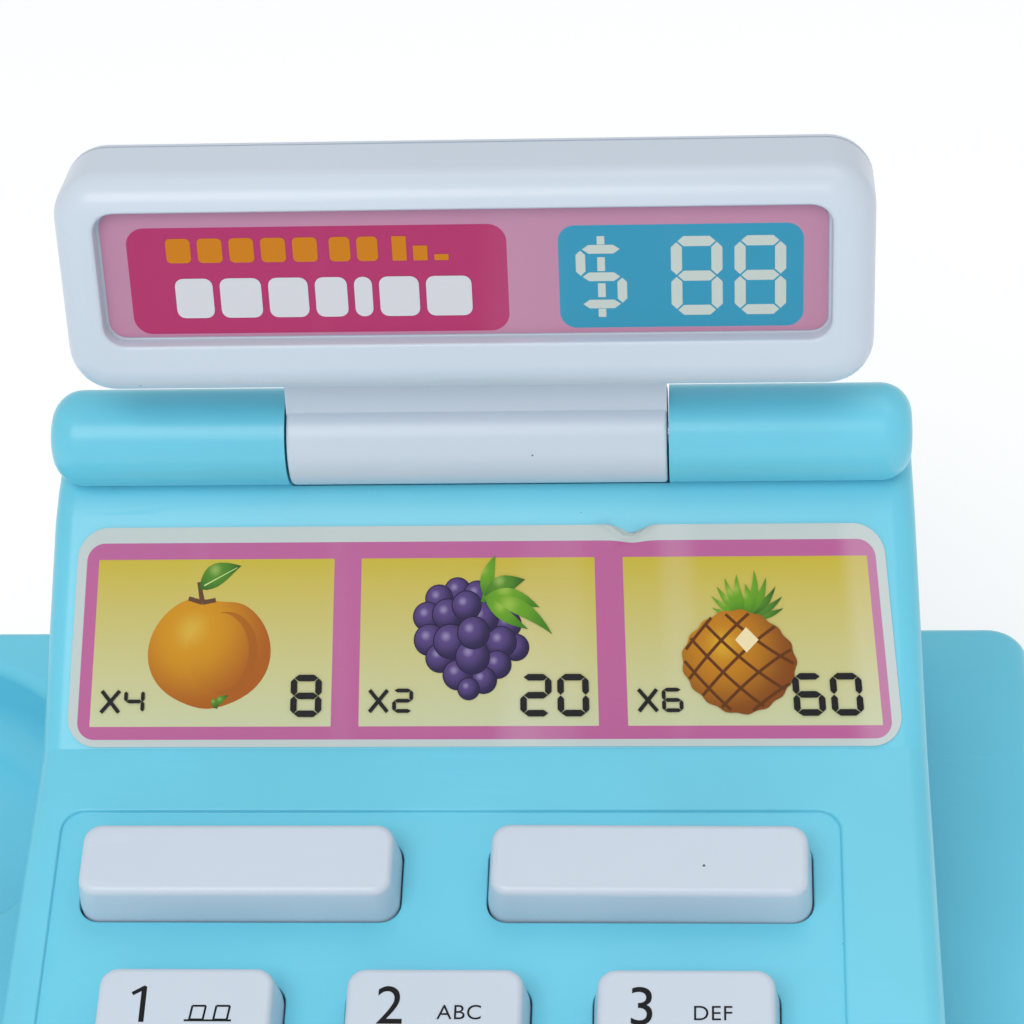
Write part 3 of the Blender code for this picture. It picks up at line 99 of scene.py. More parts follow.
class TillHousing(bpy.types.PropertyGroup):
    deck: length("Deck height", "Height of the flat deck above the table", 46)
    corner: length("Body corner", "Radius of the body's upright corners", 5)
    deck_round: length("Deck edge", "Radius of the deck's top edge", 2.4)
    wall: length("Wall", "Thickness of the mouldings' walls", 2.2)
    console_width: length("Console width", "Width of the console at its crease", 98)
    console_draft: angle("Console draft", "Lean of the console's sides", 3)
    right_ledge: length("Right ledge", "Width of the deck to the right of the console", 16)
    crease_to_back: length("Crease to back", "From the crease to the body's back", 53)
    crease_rise: length("Crease rise", "Height of the crease above the deck", 26)
    keypad_slope: angle("Keypad slope", "Slope of the keypad panel", 17.2)
    label_slope: angle("Label slope", "Slope of the label panel", 46)
    label_panel: length("Label panel", "Length of the label panel up its slope", 25.8)
    console_round: length("Console edge", "Radius of the console's edges", 2.6)
    barrel: length("Barrel radius", "Radius of the hinge barrels", 5.4)
    barrel_end: length("Barrel end", "Radius of the barrels' rounded ends", 3.4)
    bowl_radius: length("Bowl radius", "Radius of the coin bowl", 27.5)
    bowl_depth: length("Bowl depth", "Depth of the coin bowl", 10.5)
    bowl_floor: length("Bowl fillet", "Fillet round the floor of the coin bowl", 5)
    bowl_margin: length("Bowl margin", "From the body's left side to the coin bowl", 6.4)
    bowl_to_back: length("Bowl to back", "From the bowl's middle to the body's back", 33)


class TillKeys(bpy.types.PropertyGroup):
    recess_left: length("Recess left", "Left side of the keypad recess from the console's middle", -45.4)
    recess_right: length("Recess right", "Right side of the keypad recess from the console's middle", 39.3)
    recess_top: length("Recess top", "Top of the recess, down from the crease", 7.8)
    recess_bottom: length("Recess bottom", "Bottom of the recess, down from the crease", 85.4)
    recess_depth: length("Recess depth", "Depth of the keypad recess", 0.5)
    width: length("Key width", "Width of a number key", 19.2)
    height: length("Key height", "Height of a number key down the panel", 9.6)
    pitch_x: length("Column pitch", "Distance between the key columns", 25.9)
    pitch_v: length("Row pitch", "Distance between the key rows", 15)
    first_v: length("First row", "First key row, down from the crease", 33.5)
    wide_width: length("Wide key width", "Width of a wide key", 34.4)
    wide_height: length("Wide key height", "Height of a wide key down the panel", 9.4)
    wide_spacing: length("Wide key spacing", "Distance between the two wide keys", 43.9)
    wide_v: length("Wide key row", "Wide key row, down from the crease", 16.3)
    stands: length("Key rise", "How far the keys stand off the panel", 4.8)
    draft: length("Key draft", "How much smaller a key is at its top, each side", 0.45)
    corner: length("Key corner", "Radius of a key's corners", 2.2)
    edge: length("Key edge", "Radius of a key's top edge", 0.9)
    clearance: length("Key clearance", "Gap round each key in the panel", 0.15)


class TillDisplay(bpy.types.PropertyGroup):
    lean: angle("Lean", "How far the display leans back", 8)
    width: length("Width", "Width of the display", 86)
    height: length("Height", "Height of the display", 25.1)
    thickness: length("Thickness", "Thickness of the display with its back cover", 11.6)
    rise: length("Rise", "From the hinge's axis up to the display's underside", 10.2)
    face: length("Face", "From the hinge's axis to the display's face", -10.7)
    corner: length("Corner", "Radius of the display's corners", 5)
    edge: length("Edge", "Radius of the display's front edge", 3.6)
    wall: length("Wall", "Thickness of the display's walls", 1.8)
    window_width: length("Window width", "Width of the window", 76.8)
    window_height: length("Window height", "Height of the window", 15.2)
    window_depth: length("Window depth", "Depth of the window", 1.8)
    window_rise: length("Window rise", "Window's middle above the display's middle", 1.45)
    barrel_length: length("Barrel", "Length of the display's own hinge barrel", 41.8)
    neck: length("Neck", "Thickness of the neck between barrel and display", 1.8)


class TillFinish(bpy.types.PropertyGroup):
    sky_blue: colour("Sky blue", "Colour of the housing", (0.160, 0.630, 0.800))
    white: colour("White", "Colour of the keys, display and drawer", (0.605, 0.680, 0.770))
    pink: colour("Pink", "Printed frame of the price label", (0.480, 0.092, 0.285))
    border: colour("Border", "Unprinted edge of the price label", (0.530, 0.600, 0.580))
    yellow: colour("Yellow", "Upper part of the price windows", (0.560, 0.430, 0.006))
    cream: colour("Cream", "Lower part of the price windows", (0.570, 0.600, 0.350))
    display_pink: colour("Display pink", "Ground of the display label", (0.500, 0.225, 0.355))
    magenta: colour("Magenta", "Left panel of the display label", (0.430, 0.010, 0.120))
    screen_blue: colour("Screen blue", "Right panel of the display label", (0.012, 0.280, 0.450))
    ink: colour("Ink", "Black print", (0.008, 0.008, 0.009))


class TillStage(bpy.types.PropertyGroup):
    camera: bpy.props.FloatVectorProperty(
        name="Camera", description="Where the camera stands", default=(0.05086, -0.23742, 0.30131), unit="LENGTH",
        precision=5,
    )
    yaw: angle("Yaw", "Camera's turn to the right", -4.94)
    pitch: angle("Pitch", "Camera's tilt below the horizon", 37.32)
    roll: angle("Roll", "Camera's roll", 3.40)
    lens: amount("Lens", "Focal length on a 36 mm sensor, in millimetres", 110.1)
    key_light: amount("Key light", "Power of the main soft light", 3.9)
    fill_light: amount("Fill light", "Power of the low front light", 0.4)
    sky: amount("Room light", "Strength of the light from the room", 0.58)


# Shapes


def rounded_rectangle(half_x, half_y, corner, z, steps=6):
    points = []
    for quarter, (sx, sy) in enumerate(((1, 1), (-1, 1), (-1, -1), (1, -1))):
        centre = Vector((sx * (half_x - corner), sy * (half_y - corner), z))
        for step in range(steps + 1):
            turn = QUARTER * (quarter + step / steps)
            points.append(centre + corner * Vector((math.cos(turn), math.sin(turn), 0)))
    return points


def circle(radius, z, sides=48):
    turn = 2 * math.pi / sides
    return [Vector((radius * math.cos(k * turn), radius * math.sin(k * turn), z)) for k in range(sides)]


def add_loft(bm, rings, place=Matrix.Identity(4), material=0):
    loops = [[bm.verts.new(place @ point) for point in ring] for ring in rings]
    made = []
    for lower, upper in zip(loops, loops[1:]):
        for k in range(len(lower)):
            after = (k + 1) % len(lower)
            made.append(bm.faces.new((lower[k], lower[after], upper[after], upper[k])))
    made += [bm.faces.new(loops[0][::-1]), bm.faces.new(loops[-1])]
    for face in made:
        face.material_index = material
    return made


def fillet_steps(radius, steps):
    """(inset, fall) along a quarter round from the side wall to the top."""
    for k in range(steps + 1):
        turn = QUARTER * k / steps
        yield radius * (1 - math.cos(turn)), radius * (1 - math.sin(turn))


def floor_steps(radius, steps):
    """The same quarter round, from a flat foot up to the side wall."""
    return list(fillet_steps(radius, steps))[::-1]


def lip_steps(radius, steps):
    """(outset, rise) of a lip that flares from the side wall to the surface."""
    for k in range(1, steps + 1):
        turn = QUARTER * k / steps
        yield radius * (1 - math.cos(turn)), radius * math.sin(turn)


def block_rings(half_x, half_y, corner, low, high, top_round=0.0, low_round=0.0, steps=8, arc=6):
    """Rings of an upright block, with its foot and its top rounded where a radius is given."""
    profile = [(inset, low + fall) for inset, fall in floor_steps(low_round, arc)] if low_round else [(0.0, low)]
    profile += [(inset, high - fall) for inset, fall in fillet_steps(top_round, arc)] if top_round else [(0.0, high)]
    return [
        rounded_rectangle(half_x - inset, half_y - inset, max(corner - inset, corner * 0.25), z, steps)
        for inset, z in profile
    ]


def pocket_rings(half_x, half_y, corner, floor, top, floor_round, lip_round, over, steps=6, arc=4):
    """Rings of a cutter for a pocket: a filleted floor, and a lip that flares at the surface."""
    profile = [(inset, floor + fall) for inset, fall in floor_steps(floor_round, arc)]
    profile += [(-outset, top - lip_round + rise) for outset, rise in lip_steps(lip_round, arc)]
    profile.append((profile[-1][0], over))
    return [
        rounded_rectangle(half_x - inset, half_y - inset, corner - min(inset, corner * 0.75), z, steps)
        for inset, z in profile
    ]


def bowl_rings(radius, floor, top, floor_round, lip_round=0.0, over=None, arc=8, sides=96):
    rings = [circle(radius - inset, floor + fall, sides) for inset, fall in floor_steps(floor_round, arc)]
    if not lip_round:
        return rings + [circle(radius, top, sides)]
    for outset, rise in lip_steps(lip_round, arc):
        rings.append(circle(radius + outset, top - lip_round + rise, sides))
    return rings + [circle(radius + lip_round, over, sides)]


def drum_rings(radius, half, end_round, steps, sides=48):
    """Rings of a drum along Z with rounded ends."""
    rings = [circle(radius - inset, -half + fall, sides) for inset, fall in floor_steps(end_round, steps)]
    return rings + [circle(radius - inset, half - fall, sides) for inset, fall in fillet_steps(end_round, steps)]


def inset_outline(outline, distance):
    sides = []
    for k, start in enumerate(outline):
        end = outline[(k + 1) % len(outline)]
        along = (Vector(end) - Vector(start)).normalized()
        sides.append((Vector(start) + Vector((-along.y, along.x)) * distance, along))
    moved = []
    for k, (point, along) in enumerate(sides):
        other, direction = sides[k - 1]
        cross = direction.x * along.y - direction.y * along.x
        travel = ((point - other).x * along.y - (point - other).y * along.x) / cross
        moved.append(tuple(other + direction * travel))
    return moved


# Objects


def put(name, data):
    """A new object in the scene."""
    made = bpy.data.objects.new(name, data)
    bpy.context.scene.collection.objects.link(made)
    return made


def new_object(name, bm):
    bmesh.ops.recalc_face_normals(bm, faces=bm.faces)
    mesh = bpy.data.meshes.new(name)
    bm.to_mesh(mesh)
    bm.free()
    return put(name, mesh)


def lofted(name, rings, place=Matrix.Identity(4)):
    bm = bmesh.new()
    add_loft(bm, rings, place)
    return new_object(name, bm)


def drop(*objects):
    for made in objects:
        bpy.data.objects.remove(made)


def settled(made):
    """The object as its modifiers leave it, as a plain mesh. The original goes."""
    bpy.context.view_layer.update()
    graph = bpy.context.evaluated_depsgraph_get()
    mesh = bpy.data.meshes.new_from_object(made.evaluated_get(graph))
    name = made.name
    drop(made)
    mesh.name = name
    return put(name, mesh)


def carve(made, *steps):
    """Applies (operation, tool) steps in order and removes the tools."""
    for operation, tool in steps:
        modifier = made.modifiers.new(tool.name, "BOOLEAN")
        modifier.operation = operation
        modifier.solver = "EXACT"
        modifier.object = tool
    plain = settled(made)
    drop(*(tool for _, tool in steps))
    return plain


def finish_piece(made, body, materials, stands_for=(), sharp=38, weighted=True):
    """Gives a piece its materials and shading and puts it on its body."""
    for k, material in enumerate(materials):
        if k < len(made.data.materials):
            made.data.materials[k] = material
        else:
            made.data.materials.append(material)
    made.data.shade_smooth()
    made.data.set_sharp_from_angle(angle=math.radians(sharp))
    if weighted:
        modifier = made.modifiers.new("flat_faces_stay_flat", "WEIGHTED_NORMAL")
        modifier.keep_sharp = True
        modifier.weight = 80
    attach(made, body)
    if stands_for:
        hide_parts(*stands_for)


# Where things are


def till():
    return bpy.context.scene


def body_box():
    """The footprint: left, right, front and back of the body."""
    low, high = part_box("top_shell")
    return low[0], high[0], low[1], high[1]


def crease():
    """(console's middle X, crease Y, crease Z)"""
    sizes = till().till_housing
    _, right, _, back = body_box()
    middle = right - sizes.right_ledge - sizes.console_width / 2
    return middle, back - sizes.crease_to_back, sizes.deck + sizes.crease_rise


def keypad_frame():
    return Matrix.Translation(crease()) @ Matrix.Rotation(till().till_housing.keypad_slope, 4, "X")


def label_frame():
    return Matrix.Translation(crease()) @ Matrix.Rotation(till().till_housing.label_slope, 4, "X")


def display_frame():
    return Matrix.Translation(HINGE) @ Matrix.Rotation(-till().till_display.lean, 4, "X")


def window_frame(depth=0.0):
    """The middle of the display's face, with +Z towards the user; depth is behind the face."""
    sizes = till().till_display
    middle = (0, sizes.face + depth, sizes.rise + sizes.height / 2)
    return display_frame() @ Matrix.Translation(middle) @ Matrix.Rotation(QUARTER, 4, "X")


def along_x(x, y, z):
    return Matrix.Translation((x, y, z)) @ Matrix.Rotation(QUARTER, 4, "Y")


def keypad_middle():
    sizes = till().till_keys
    return (sizes.recess_left + sizes.recess_right) / 2


def number_key_places():
    """(name, x, v) of each number key."""
    sizes = till().till_keys
    names = [str(n) for n in range(1, 10)] + ["star", "0", "hash"]
    return [
        (name, keypad_middle() + (k % 3 - 1) * sizes.pitch_x, sizes.first_v + (k // 3) * sizes.pitch_v)
        for k, name in enumerate(names)
    ]


def wide_key_places():
    """(x, v) of the left wide key and of the release key."""
    sizes = till().till_keys
    return [(keypad_middle() + side * sizes.wide_spacing / 2, sizes.wide_v) for side in (-1, 1)]


# Shader groups and materials


class Wiring:
    """Short names for adding and joining nodes in one tree."""

    def __init__(self, tree):
        self.tree = tree

    def node(self, kind, inputs=None, **settings):
        made = self.tree.nodes.new(kind)
        for key, value in settings.items():
            setattr(made, key, value)
        for key, value in (inputs or {}).items():
            self.feed(made.inputs[key], value)
        return made

    def feed(self, socket, value):
        if isinstance(value, bpy.types.NodeSocket):
            self.tree.links.new(value, socket)
        else:
            socket.default_value = value

    def maths(self, operation, *values):
        made = self.node("ShaderNodeMath", operation=operation)
        for socket, value in zip(made.inputs, values):
            self.feed(socket, value)
        return made.outputs[0]

    def ramp(self, value, low, high, to_low=0.0, to_high=1.0, kind="SMOOTHSTEP"):
        made = self.node("ShaderNodeMapRange", interpolation_type=kind)
        for socket, item in zip(made.inputs, (value, low, high, to_low, to_high)):
            self.feed(socket, item)
        return made.outputs[0]

    def mix(self, factor, first, second):
        made = self.node("ShaderNodeMix", {"Factor": factor}, data_type="RGBA")
        for socket, value in ((made.inputs[6], first), (made.inputs[7], second)):
            self.feed(socket, (*value, 1.0) if isinstance(value, tuple) and len(value) == 3 else value)
        return made.outputs[2]

    def place(self):
        return self.node("ShaderNodeTexCoord").outputs["Object"]

    def moved(self, place, **settings):
        return self.node("ShaderNodeMapping", {"Vector": place, **settings}).outputs[0]

    def noise(self, place, scale, detail, **more):
        return self.node("ShaderNodeTexNoise", {"Vector": place, "Scale": scale, "Detail": detail, **more}).outputs[0]

    def axes(self, place):
        return self.node("ShaderNodeSeparateXYZ", {"Vector": place}).outputs

    def group(self, tree, **inputs):
        made = self.node("ShaderNodeGroup", node_tree=tree)
        for key, value in inputs.items():
            self.feed(made.inputs[key.replace("_", " ")], value)
        return made.outputs

    def surface(self, shader, tone, roughness, bump=None, specular=None):
        """Wires a Principled shader. bump is (strength, distance, height)."""
        self.feed(shader.inputs["Base Color"], tone)
        self.feed(shader.inputs["Roughness"], roughness)
        if bump:
            relief = self.node("ShaderNodeBump", dict(zip(("Strength", "Distance", "Height"), bump)))
            self.feed(shader.inputs["Normal"], relief.outputs[0])
        if specular is not None:
            shader.inputs["Specular IOR Level"].default_value = specular

    def leave(self, **values):
        end = self.node("NodeGroupOutput")
        for key, value in values.items():
            self.feed(end.inputs[key.replace("_", " ")], value)


def new_group(name, kind, inputs, outputs):
    """(group, its wiring, its input sockets). Inputs are (label, socket kind, default)."""
    group = bpy.data.node_groups.new(name, kind)
    for label, socket_kind, default in inputs:
        socket = group.interface.new_socket(label, in_out="INPUT", socket_type=f"NodeSocket{socket_kind}")
        if default is not None:
            socket.default_value = default
    for label, socket_kind in outputs:
        group.interface.new_socket(label, in_out="OUTPUT", socket_type=f"NodeSocket{socket_kind}")
    w = Wiring(group)
    return group, w, w.node("NodeGroupInput").outputs


@functools.cache
def moulding_group():
    """Fine variation of a moulded plastic skin: cloudiness, handling marks, specks and a faint orange peel."""
    group, w, entry = new_group(
        "moulded skin", "ShaderNodeTree",
        [("Place", "Vector", None), ("Specks", "Float", 0.5)],
        [(label, "Float") for label in ("Cloud", "Rub", "Speck", "Peel Height")],
    )
    place = entry["Place"]
    cloud = w.noise(place, 14.0, 4.0, Roughness=0.6)
    stretched = w.moved(place, Rotation=(0.3, 0.2, 0.6), Scale=(60.0, 900.0, 900.0))
    rub = w.ramp(w.noise(stretched, 1.0, 3.0, Roughness=0.7), 0.55, 0.72)
    rubbed = w.maths("MULTIPLY", rub, w.ramp(w.noise(place, 45.0, 2.0), 0.5, 0.65))
    cells = w.node("ShaderNodeTexVoronoi", {"Vector": place, "Scale": 170.0})
    size = w.node("ShaderNodeSeparateColor", {"Color": cells.outputs["Color"]})
    reach = w.maths("MULTIPLY", w.ramp(size.outputs[0], 0.3, 1.0), 0.036)
    near = w.maths("LESS_THAN", cells.outputs["Distance"], w.maths("MULTIPLY", reach, entry["Specks"]))
    w.leave(Cloud=cloud, Rub=rubbed, Speck=near, Peel_Height=w.noise(place, 900.0, 2.0))
    return group


@functools.cache
def patch_group():
    """1 inside a rounded rectangle of the label, 0 outside it, with a soft printed edge."""
    labels = ("X", "Y", "Middle X", "Middle Y", "Half Width", "Half Height", "Corner")
    group, w, entry = new_group(
        "printed patch", "ShaderNodeTree", [(label, "Float", 0.0) for label in labels], [("Patch", "Float")]
    )
    reaches = []
    for place, middle, half in (("X", "Middle X", "Half Width"), ("Y", "Middle Y", "Half Height")):
        off = w.maths("ABSOLUTE", w.maths("SUBTRACT", entry[place], entry[middle]))
        off = w.maths("SUBTRACT", off, w.maths("SUBTRACT", entry[half], entry["Corner"]))
        reaches.append(w.maths("POWER", w.maths("MAXIMUM", off, 0.0), 2.0))
    far = w.maths("SUBTRACT", w.maths("SQRT", w.maths("ADD", *reaches)), entry["Corner"])
    w.leave(Patch=w.ramp(far, -0.04, 0.04, 1.0, 0.0))
    return group


@functools.cache
def screen_group():
    """The dot screen of four-colour print, the paper under it, and painted highlight streaks: light glancing off the
    film, painted into its colour.
    """
    group, w, entry = new_group(
        "print screen", "ShaderNodeTree",
        [("Place", "Vector", None)], [(label, "Float") for label in ("Dots", "Fibre", "Sheen")],
    )
    place = entry["Place"]
    axes = w.axes(w.moved(place, Rotation=(0.0, 0.0, math.radians(18))))
    waves = [w.maths("SINE", w.maths("MULTIPLY", axes[k], 2 * math.pi / DOT_PITCH)) for k in (0, 1)]
    # Sheen: diagonal stripes of painted highlight, standing in for light that glances off the film
    stripe = w.moved(place, Rotation=(0.0, 0.0, math.radians(-52)), Scale=(75.0, 6.0, 6.0))
    w.leave(
        Dots=w.ramp(w.maths("MULTIPLY", *waves), -0.6, 0.6),
        Fibre=w.noise(place, 2600.0, 3.0),
        Sheen=w.ramp(w.noise(stripe, 1.0, 1.0), 0.52, 0.68),
    )
    return group


def new_material(name):
    """(material, its wiring, its shader)"""
    made = bpy.data.materials.new(name)
    made.use_nodes = True
    return made, Wiring(made.node_tree), made.node_tree.nodes["Principled BSDF"]


def shade(colour, factor):
    return tuple(min(1.0, channel * factor) for channel in colour)


@functools.cache
def moulded_plastic(name, colour, roughness=0.34, cloud=0.05, specks=1.0, seed=(0.0, 0.0, 0.0)):
    made, w, shader = new_material(name)
    skin = w.group(moulding_group(), Place=w.moved(w.place(), Location=seed), Specks=specks)
    tone = w.mix(w.ramp(skin["Cloud"], 0.3, 0.7), shade(colour, 1 - cloud), shade(colour, 1 + cloud))
    dusty = w.mix(w.maths("MULTIPLY", skin["Rub"], 0.12), tone, shade(colour, 1.25))
    speckled = w.mix(skin["Speck"], dusty, shade(colour, 0.16))
    rough = w.maths("MULTIPLY_ADD", skin["Rub"], 0.16, roughness - 0.03)
    rough = w.maths("MULTIPLY_ADD", skin["Cloud"], 0.08, rough)
    w.surface(shader, speckled, rough, (0.12, 0.00002, skin["Peel Height"]), 0.42)
    return made


@functools.cache
def soft_rubber(name, colour, roughness):
    made, w, shader = new_material(name)
    dust = w.noise(w.place(), 320.0, 5.0)
    tone = w.mix(w.ramp(dust, 0.45, 0.75), colour, shade(colour, 1.7))
    w.surface(shader, tone, w.maths("MULTIPLY_ADD", dust, 0.2, roughness - 0.1), (0.25, 0.00008, dust))
    return made


@functools.cache
def plated_steel(colour=(0.62, 0.62, 0.64)):
    made, w, shader = new_material("plated_steel")
    place = w.place()
    lines = w.noise(w.moved(place, Scale=(300.0, 3000.0, 3000.0)), 1.0, 3.0)
    tone = w.mix(w.ramp(w.noise(place, 180.0, 4.0), 0.5, 0.75), colour, shade(colour, 0.72))
    w.surface(shader, tone, w.maths("MULTIPLY_ADD", lines, 0.25, 0.18), (0.15, 0.00003, lines))
    shader.inputs["Metallic"].default_value = 1.0
    return made


@functools.cache
def laminate(name, colour):
    """Lacquered circuit board with faint tracks."""
    made, w, shader = new_material(name)
    place = w.place()
    tracks = w.node("ShaderNodeTexBrick", {"Vector": place, "Scale": 260.0, "Mortar Size": 0.06})
    tone = w.mix(tracks.outputs["Fac"], colour, shade(colour, 1.9))
    w.surface(shader, tone, w.maths("MULTIPLY_ADD", w.noise(place, 1500.0, 2.0), 0.2, 0.3))
    return made


@functools.cache
def wrapped_cell():
    """A dry cell's printed sleeve: dark, with a gold band at its ends."""
    made, w, shader = new_material("cell_sleeve")
    place = w.place()
    band = w.ramp(w.maths("ABSOLUTE", w.axes(place)[0]), 0.0145, 0.0150)
    tone = w.mix(band, (0.03, 0.035, 0.05), (0.55, 0.36, 0.10))
    w.surface(shader, tone, w.maths("MULTIPLY_ADD", w.noise(place, 400.0, 4.0), 0.25, 0.2))
    return made


def white_plastic():
    return moulded_plastic("glossy_white", till().till_finish.white[:], 0.28, 0.02, 0.8, (0.31, 0.0, 0.7))


def blue_plastic():
    return moulded_plastic("glossy_sky_blue", till().till_finish.sky_blue[:], 0.29)


def printed_film(name, ground, patches, painted_sheen):
    """Label face: a ground with printed patches on it, its dot screen, clear film over all, and painted highlight
    streaks.

    Each patch is (middle x, middle y, half width, half height, corner, colour or (upper, lower)), in millimetres
    on the piece's own UV map.
    """
    made, w, shader = new_material(name)
    flat = w.node("ShaderNodeUVMap", uv_map="label").outputs[0]
    axes = w.axes(flat)
    metres = w.node("ShaderNodeVectorMath", {0: flat, 1: (MM, MM, MM)}, operation="MULTIPLY").outputs[0]
    screen = w.group(screen_group(), Place=metres)
    tone = ground
    for x, y, half_x, half_y, corner, inks in patches:
        patch = w.group(
            patch_group(), X=axes[0], Y=axes[1], Middle_X=x, Middle_Y=y, Half_Width=half_x, Half_Height=half_y,
            Corner=corner,
        )
        if isinstance(inks[0], tuple):
            upper, lower = inks
            inks = w.mix(w.ramp(axes[1], y - half_y, y + half_y, kind="LINEAR"), lower, upper)
        tone = w.mix(patch[0], tone, inks)
    dotted = w.mix(w.maths("MULTIPLY", screen["Dots"], 0.05), tone, (0.8, 0.78, 0.8))
    # Painted highlight: the Sheen stripes lighten the label's colour towards white, as if light glanced off the film
    with_painted_sheen = w.mix(w.maths("MULTIPLY", screen["Sheen"], painted_sheen), dotted, (0.95, 0.93, 0.96))
    rough = w.maths("MULTIPLY_ADD", screen["Fibre"], 0.2, 0.34)
    w.surface(shader, with_painted_sheen, rough, (0.08, 0.00003, screen["Fibre"]), 0.25)
    return made


@functools.cache
def ink(name, colour, rim=None, glow=None, dots=0.02):
    """Flat print. With rim and glow, its shape's own UV map runs from a glow near the upper left to a darker rim."""
    made, w, shader = new_material(name)
    screen = w.group(screen_group(), Place=w.moved(w.place(), Rotation=(math.radians(-46), 0, 0)))
    tone = colour
    if rim:
        flat = w.node("ShaderNodeUVMap", uv_map="label").outputs[0]
        moved = w.moved(flat, Location=(0.28, -0.30, 0.0))
        span = w.node("ShaderNodeVectorMath", {0: moved}, operation="LENGTH").outputs["Value"]
        tone = w.mix(w.ramp(span, 0.35, 1.30), tone, rim)
        tone = w.mix(w.ramp(span, 0.0, 0.42, 0.85, 0.0), tone, glow)
    tone = w.mix(w.maths("MULTIPLY", screen["Dots"], dots), tone, (0.8, 0.8, 0.8))
    w.surface(shader, tone, w.maths("MULTIPLY_ADD", screen["Fibre"], 0.2, 0.36), specular=0.12)
    return made


# Flat print made of thin shapes


class Print:
    """Collects thin printed shapes, in millimetres on a flat panel, into one piece."""

    LAYER = 0.002
    THICKNESS = 0.0015

    def __init__(self, lift):
        self.bm = bmesh.new()
        self.uv = self.bm.loops.layers.uv.new("label")
        self.materials = []
        self.lift = lift
        self.level = 0

    def slot(self, material):
        if material not in self.materials:
            self.materials.append(material)
        return self.materials.index(material)

    def shape(self, outline, material, middle=None, reach=None):
        """One closed shape. middle and reach set its UV map, which is -1 to 1 across the reach."""
        self.level += 1
        area = sum(a[0] * b[1] - b[0] * a[1] for a, b in zip(outline, outline[1:] + outline[:1]))
        if area < 0:
            outline = outline[::-1]
        low = self.lift + self.LAYER * self.level
        rings = [[Vector((x, y, z)) for x, y in outline] for z in (low, low + self.THICKNESS)]
        faces = add_loft(self.bm, rings, material=self.slot(material))
        if middle is None:
            xs, ys = zip(*outline)
            middle = ((min(xs) + max(xs)) / 2, (min(ys) + max(ys)) / 2)
            reach = max(max(xs) - min(xs), max(ys) - min(ys)) / 2
        for face in faces:
            for loop in face.loops:
                x, y, _ = loop.vert.co
                loop[self.uv].uv = ((x - middle[0]) / reach, (y - middle[1]) / reach)

    def stroke(self, start, end, width, material, taper=1.0):
        start, end = Vector(start), Vector(end)
        along = (end - start).normalized() * width / 2
        side = Vector((-along.y, along.x))
        corners = (start + side, start - side, end - side * taper, end + side * taper)
        self.shape([tuple(corner) for corner in corners], material)

    def ribbon(self, run, width, material):
        """A stroke along a run of points."""
        left, right = [], []
        for k, point in enumerate(run):
            before, after = Vector(run[max(k - 1, 0)]), Vector(run[min(k + 1, len(run) - 1)])
            along = (after - before).normalized() * width / 2
            left.append((point[0] - along.y, point[1] + along.x))
            right.append((point[0] + along.y, point[1] - along.x))
        self.shape(left + right[::-1], material)

    def disc(self, x, y, radius, material):
        self.shape(oval(x, y, radius, radius, 28), material, (x, y), radius)

    def leaf(self, root, tip, width, material, bend=0.0):
        """A pointed leaf from root to tip, bent sideways by a share of its length."""
        root, tip = Vector(root), Vector(tip)
        along = tip - root
        side = Vector((-along.y, along.x)).normalized()
        edges = [[], []]
        for k in range(9):
            t = k / 8
            middle = root + along * t + side * bend * along.length * 4 * t * (1 - t)
            swell = width / 2 * math.sin(math.pi * t**0.8)
            edges[0].append(tuple(middle + side * swell))
            edges[1].append(tuple(middle - side * swell))
        self.shape(edges[0][:-1] + [tuple(tip)] + edges[1][-2:0:-1], material)

    def mesh(self, mesh, place, material):
        """Adds a ready mesh, such as a row of digits, at place in the panel's millimetres."""
        mesh.transform(place)
        before = len(self.bm.faces)
        self.bm.from_mesh(mesh)
        self.bm.faces.ensure_lookup_table()
        index = self.slot(material)
        for face in self.bm.faces[before:]:
            face.material_index = index
        bpy.data.meshes.remove(mesh)

    def lay(self, name, panel, warp=None):
        """The finished object on its panel. warp moves a point of the panel, in millimetres."""
        if warp:
            for vertex in self.bm.verts:
                vertex.co = warp(vertex.co)
        self.bm.transform(panel @ Matrix.Scale(MM, 4))
        return new_object(name, self.bm)


def oval(x, y, half_x, half_y, sides):
    turn = 2 * math.pi / sides
    return [(x + half_x * math.cos(turn * k), y + half_y * math.sin(turn * k)) for k in range(sides)]


SEGMENTS = {
    "0": "abcdef", "2": "abged", "4": "fgbc", "6": "afgedc", "8": "abcdefg", "$": "afgcd",
}


def segment_ends(letter, width, height):
    """(middle x, middle y, length, upright) of a segment of a digit whose lower left is at 0, 0."""
    half = height / 2
    if letter in "agd":
        return width / 2, {"a": height, "g": half, "d": 0}[letter], width, False
    return width * (letter in "bc"), half * (1.5 if letter in "fb" else 0.5), half, True


def finish_tree(w, geometry, finish):
    """Realises the instances and sets their material, as the tree's result."""
    real = w.node("GeometryNodeRealizeInstances", {"Geometry": geometry})
    done = w.node("GeometryNodeSetMaterial", {"Geometry": real.outputs[0], "Material": finish})
    w.leave(Geometry=done.outputs[0])


def run_tree(made, tree, wanted):
    """The plain result of a geometry tree on an object, with the tree's inputs given by name."""
    modifier = made.modifiers.new("nodes", "NODES")
    modifier.node_group = tree
    for item in tree.interface.items_tree:
        if item.in_out == "INPUT" and item.name in wanted:
            modifier[item.identifier] = wanted[item.name]
    return settled(made)


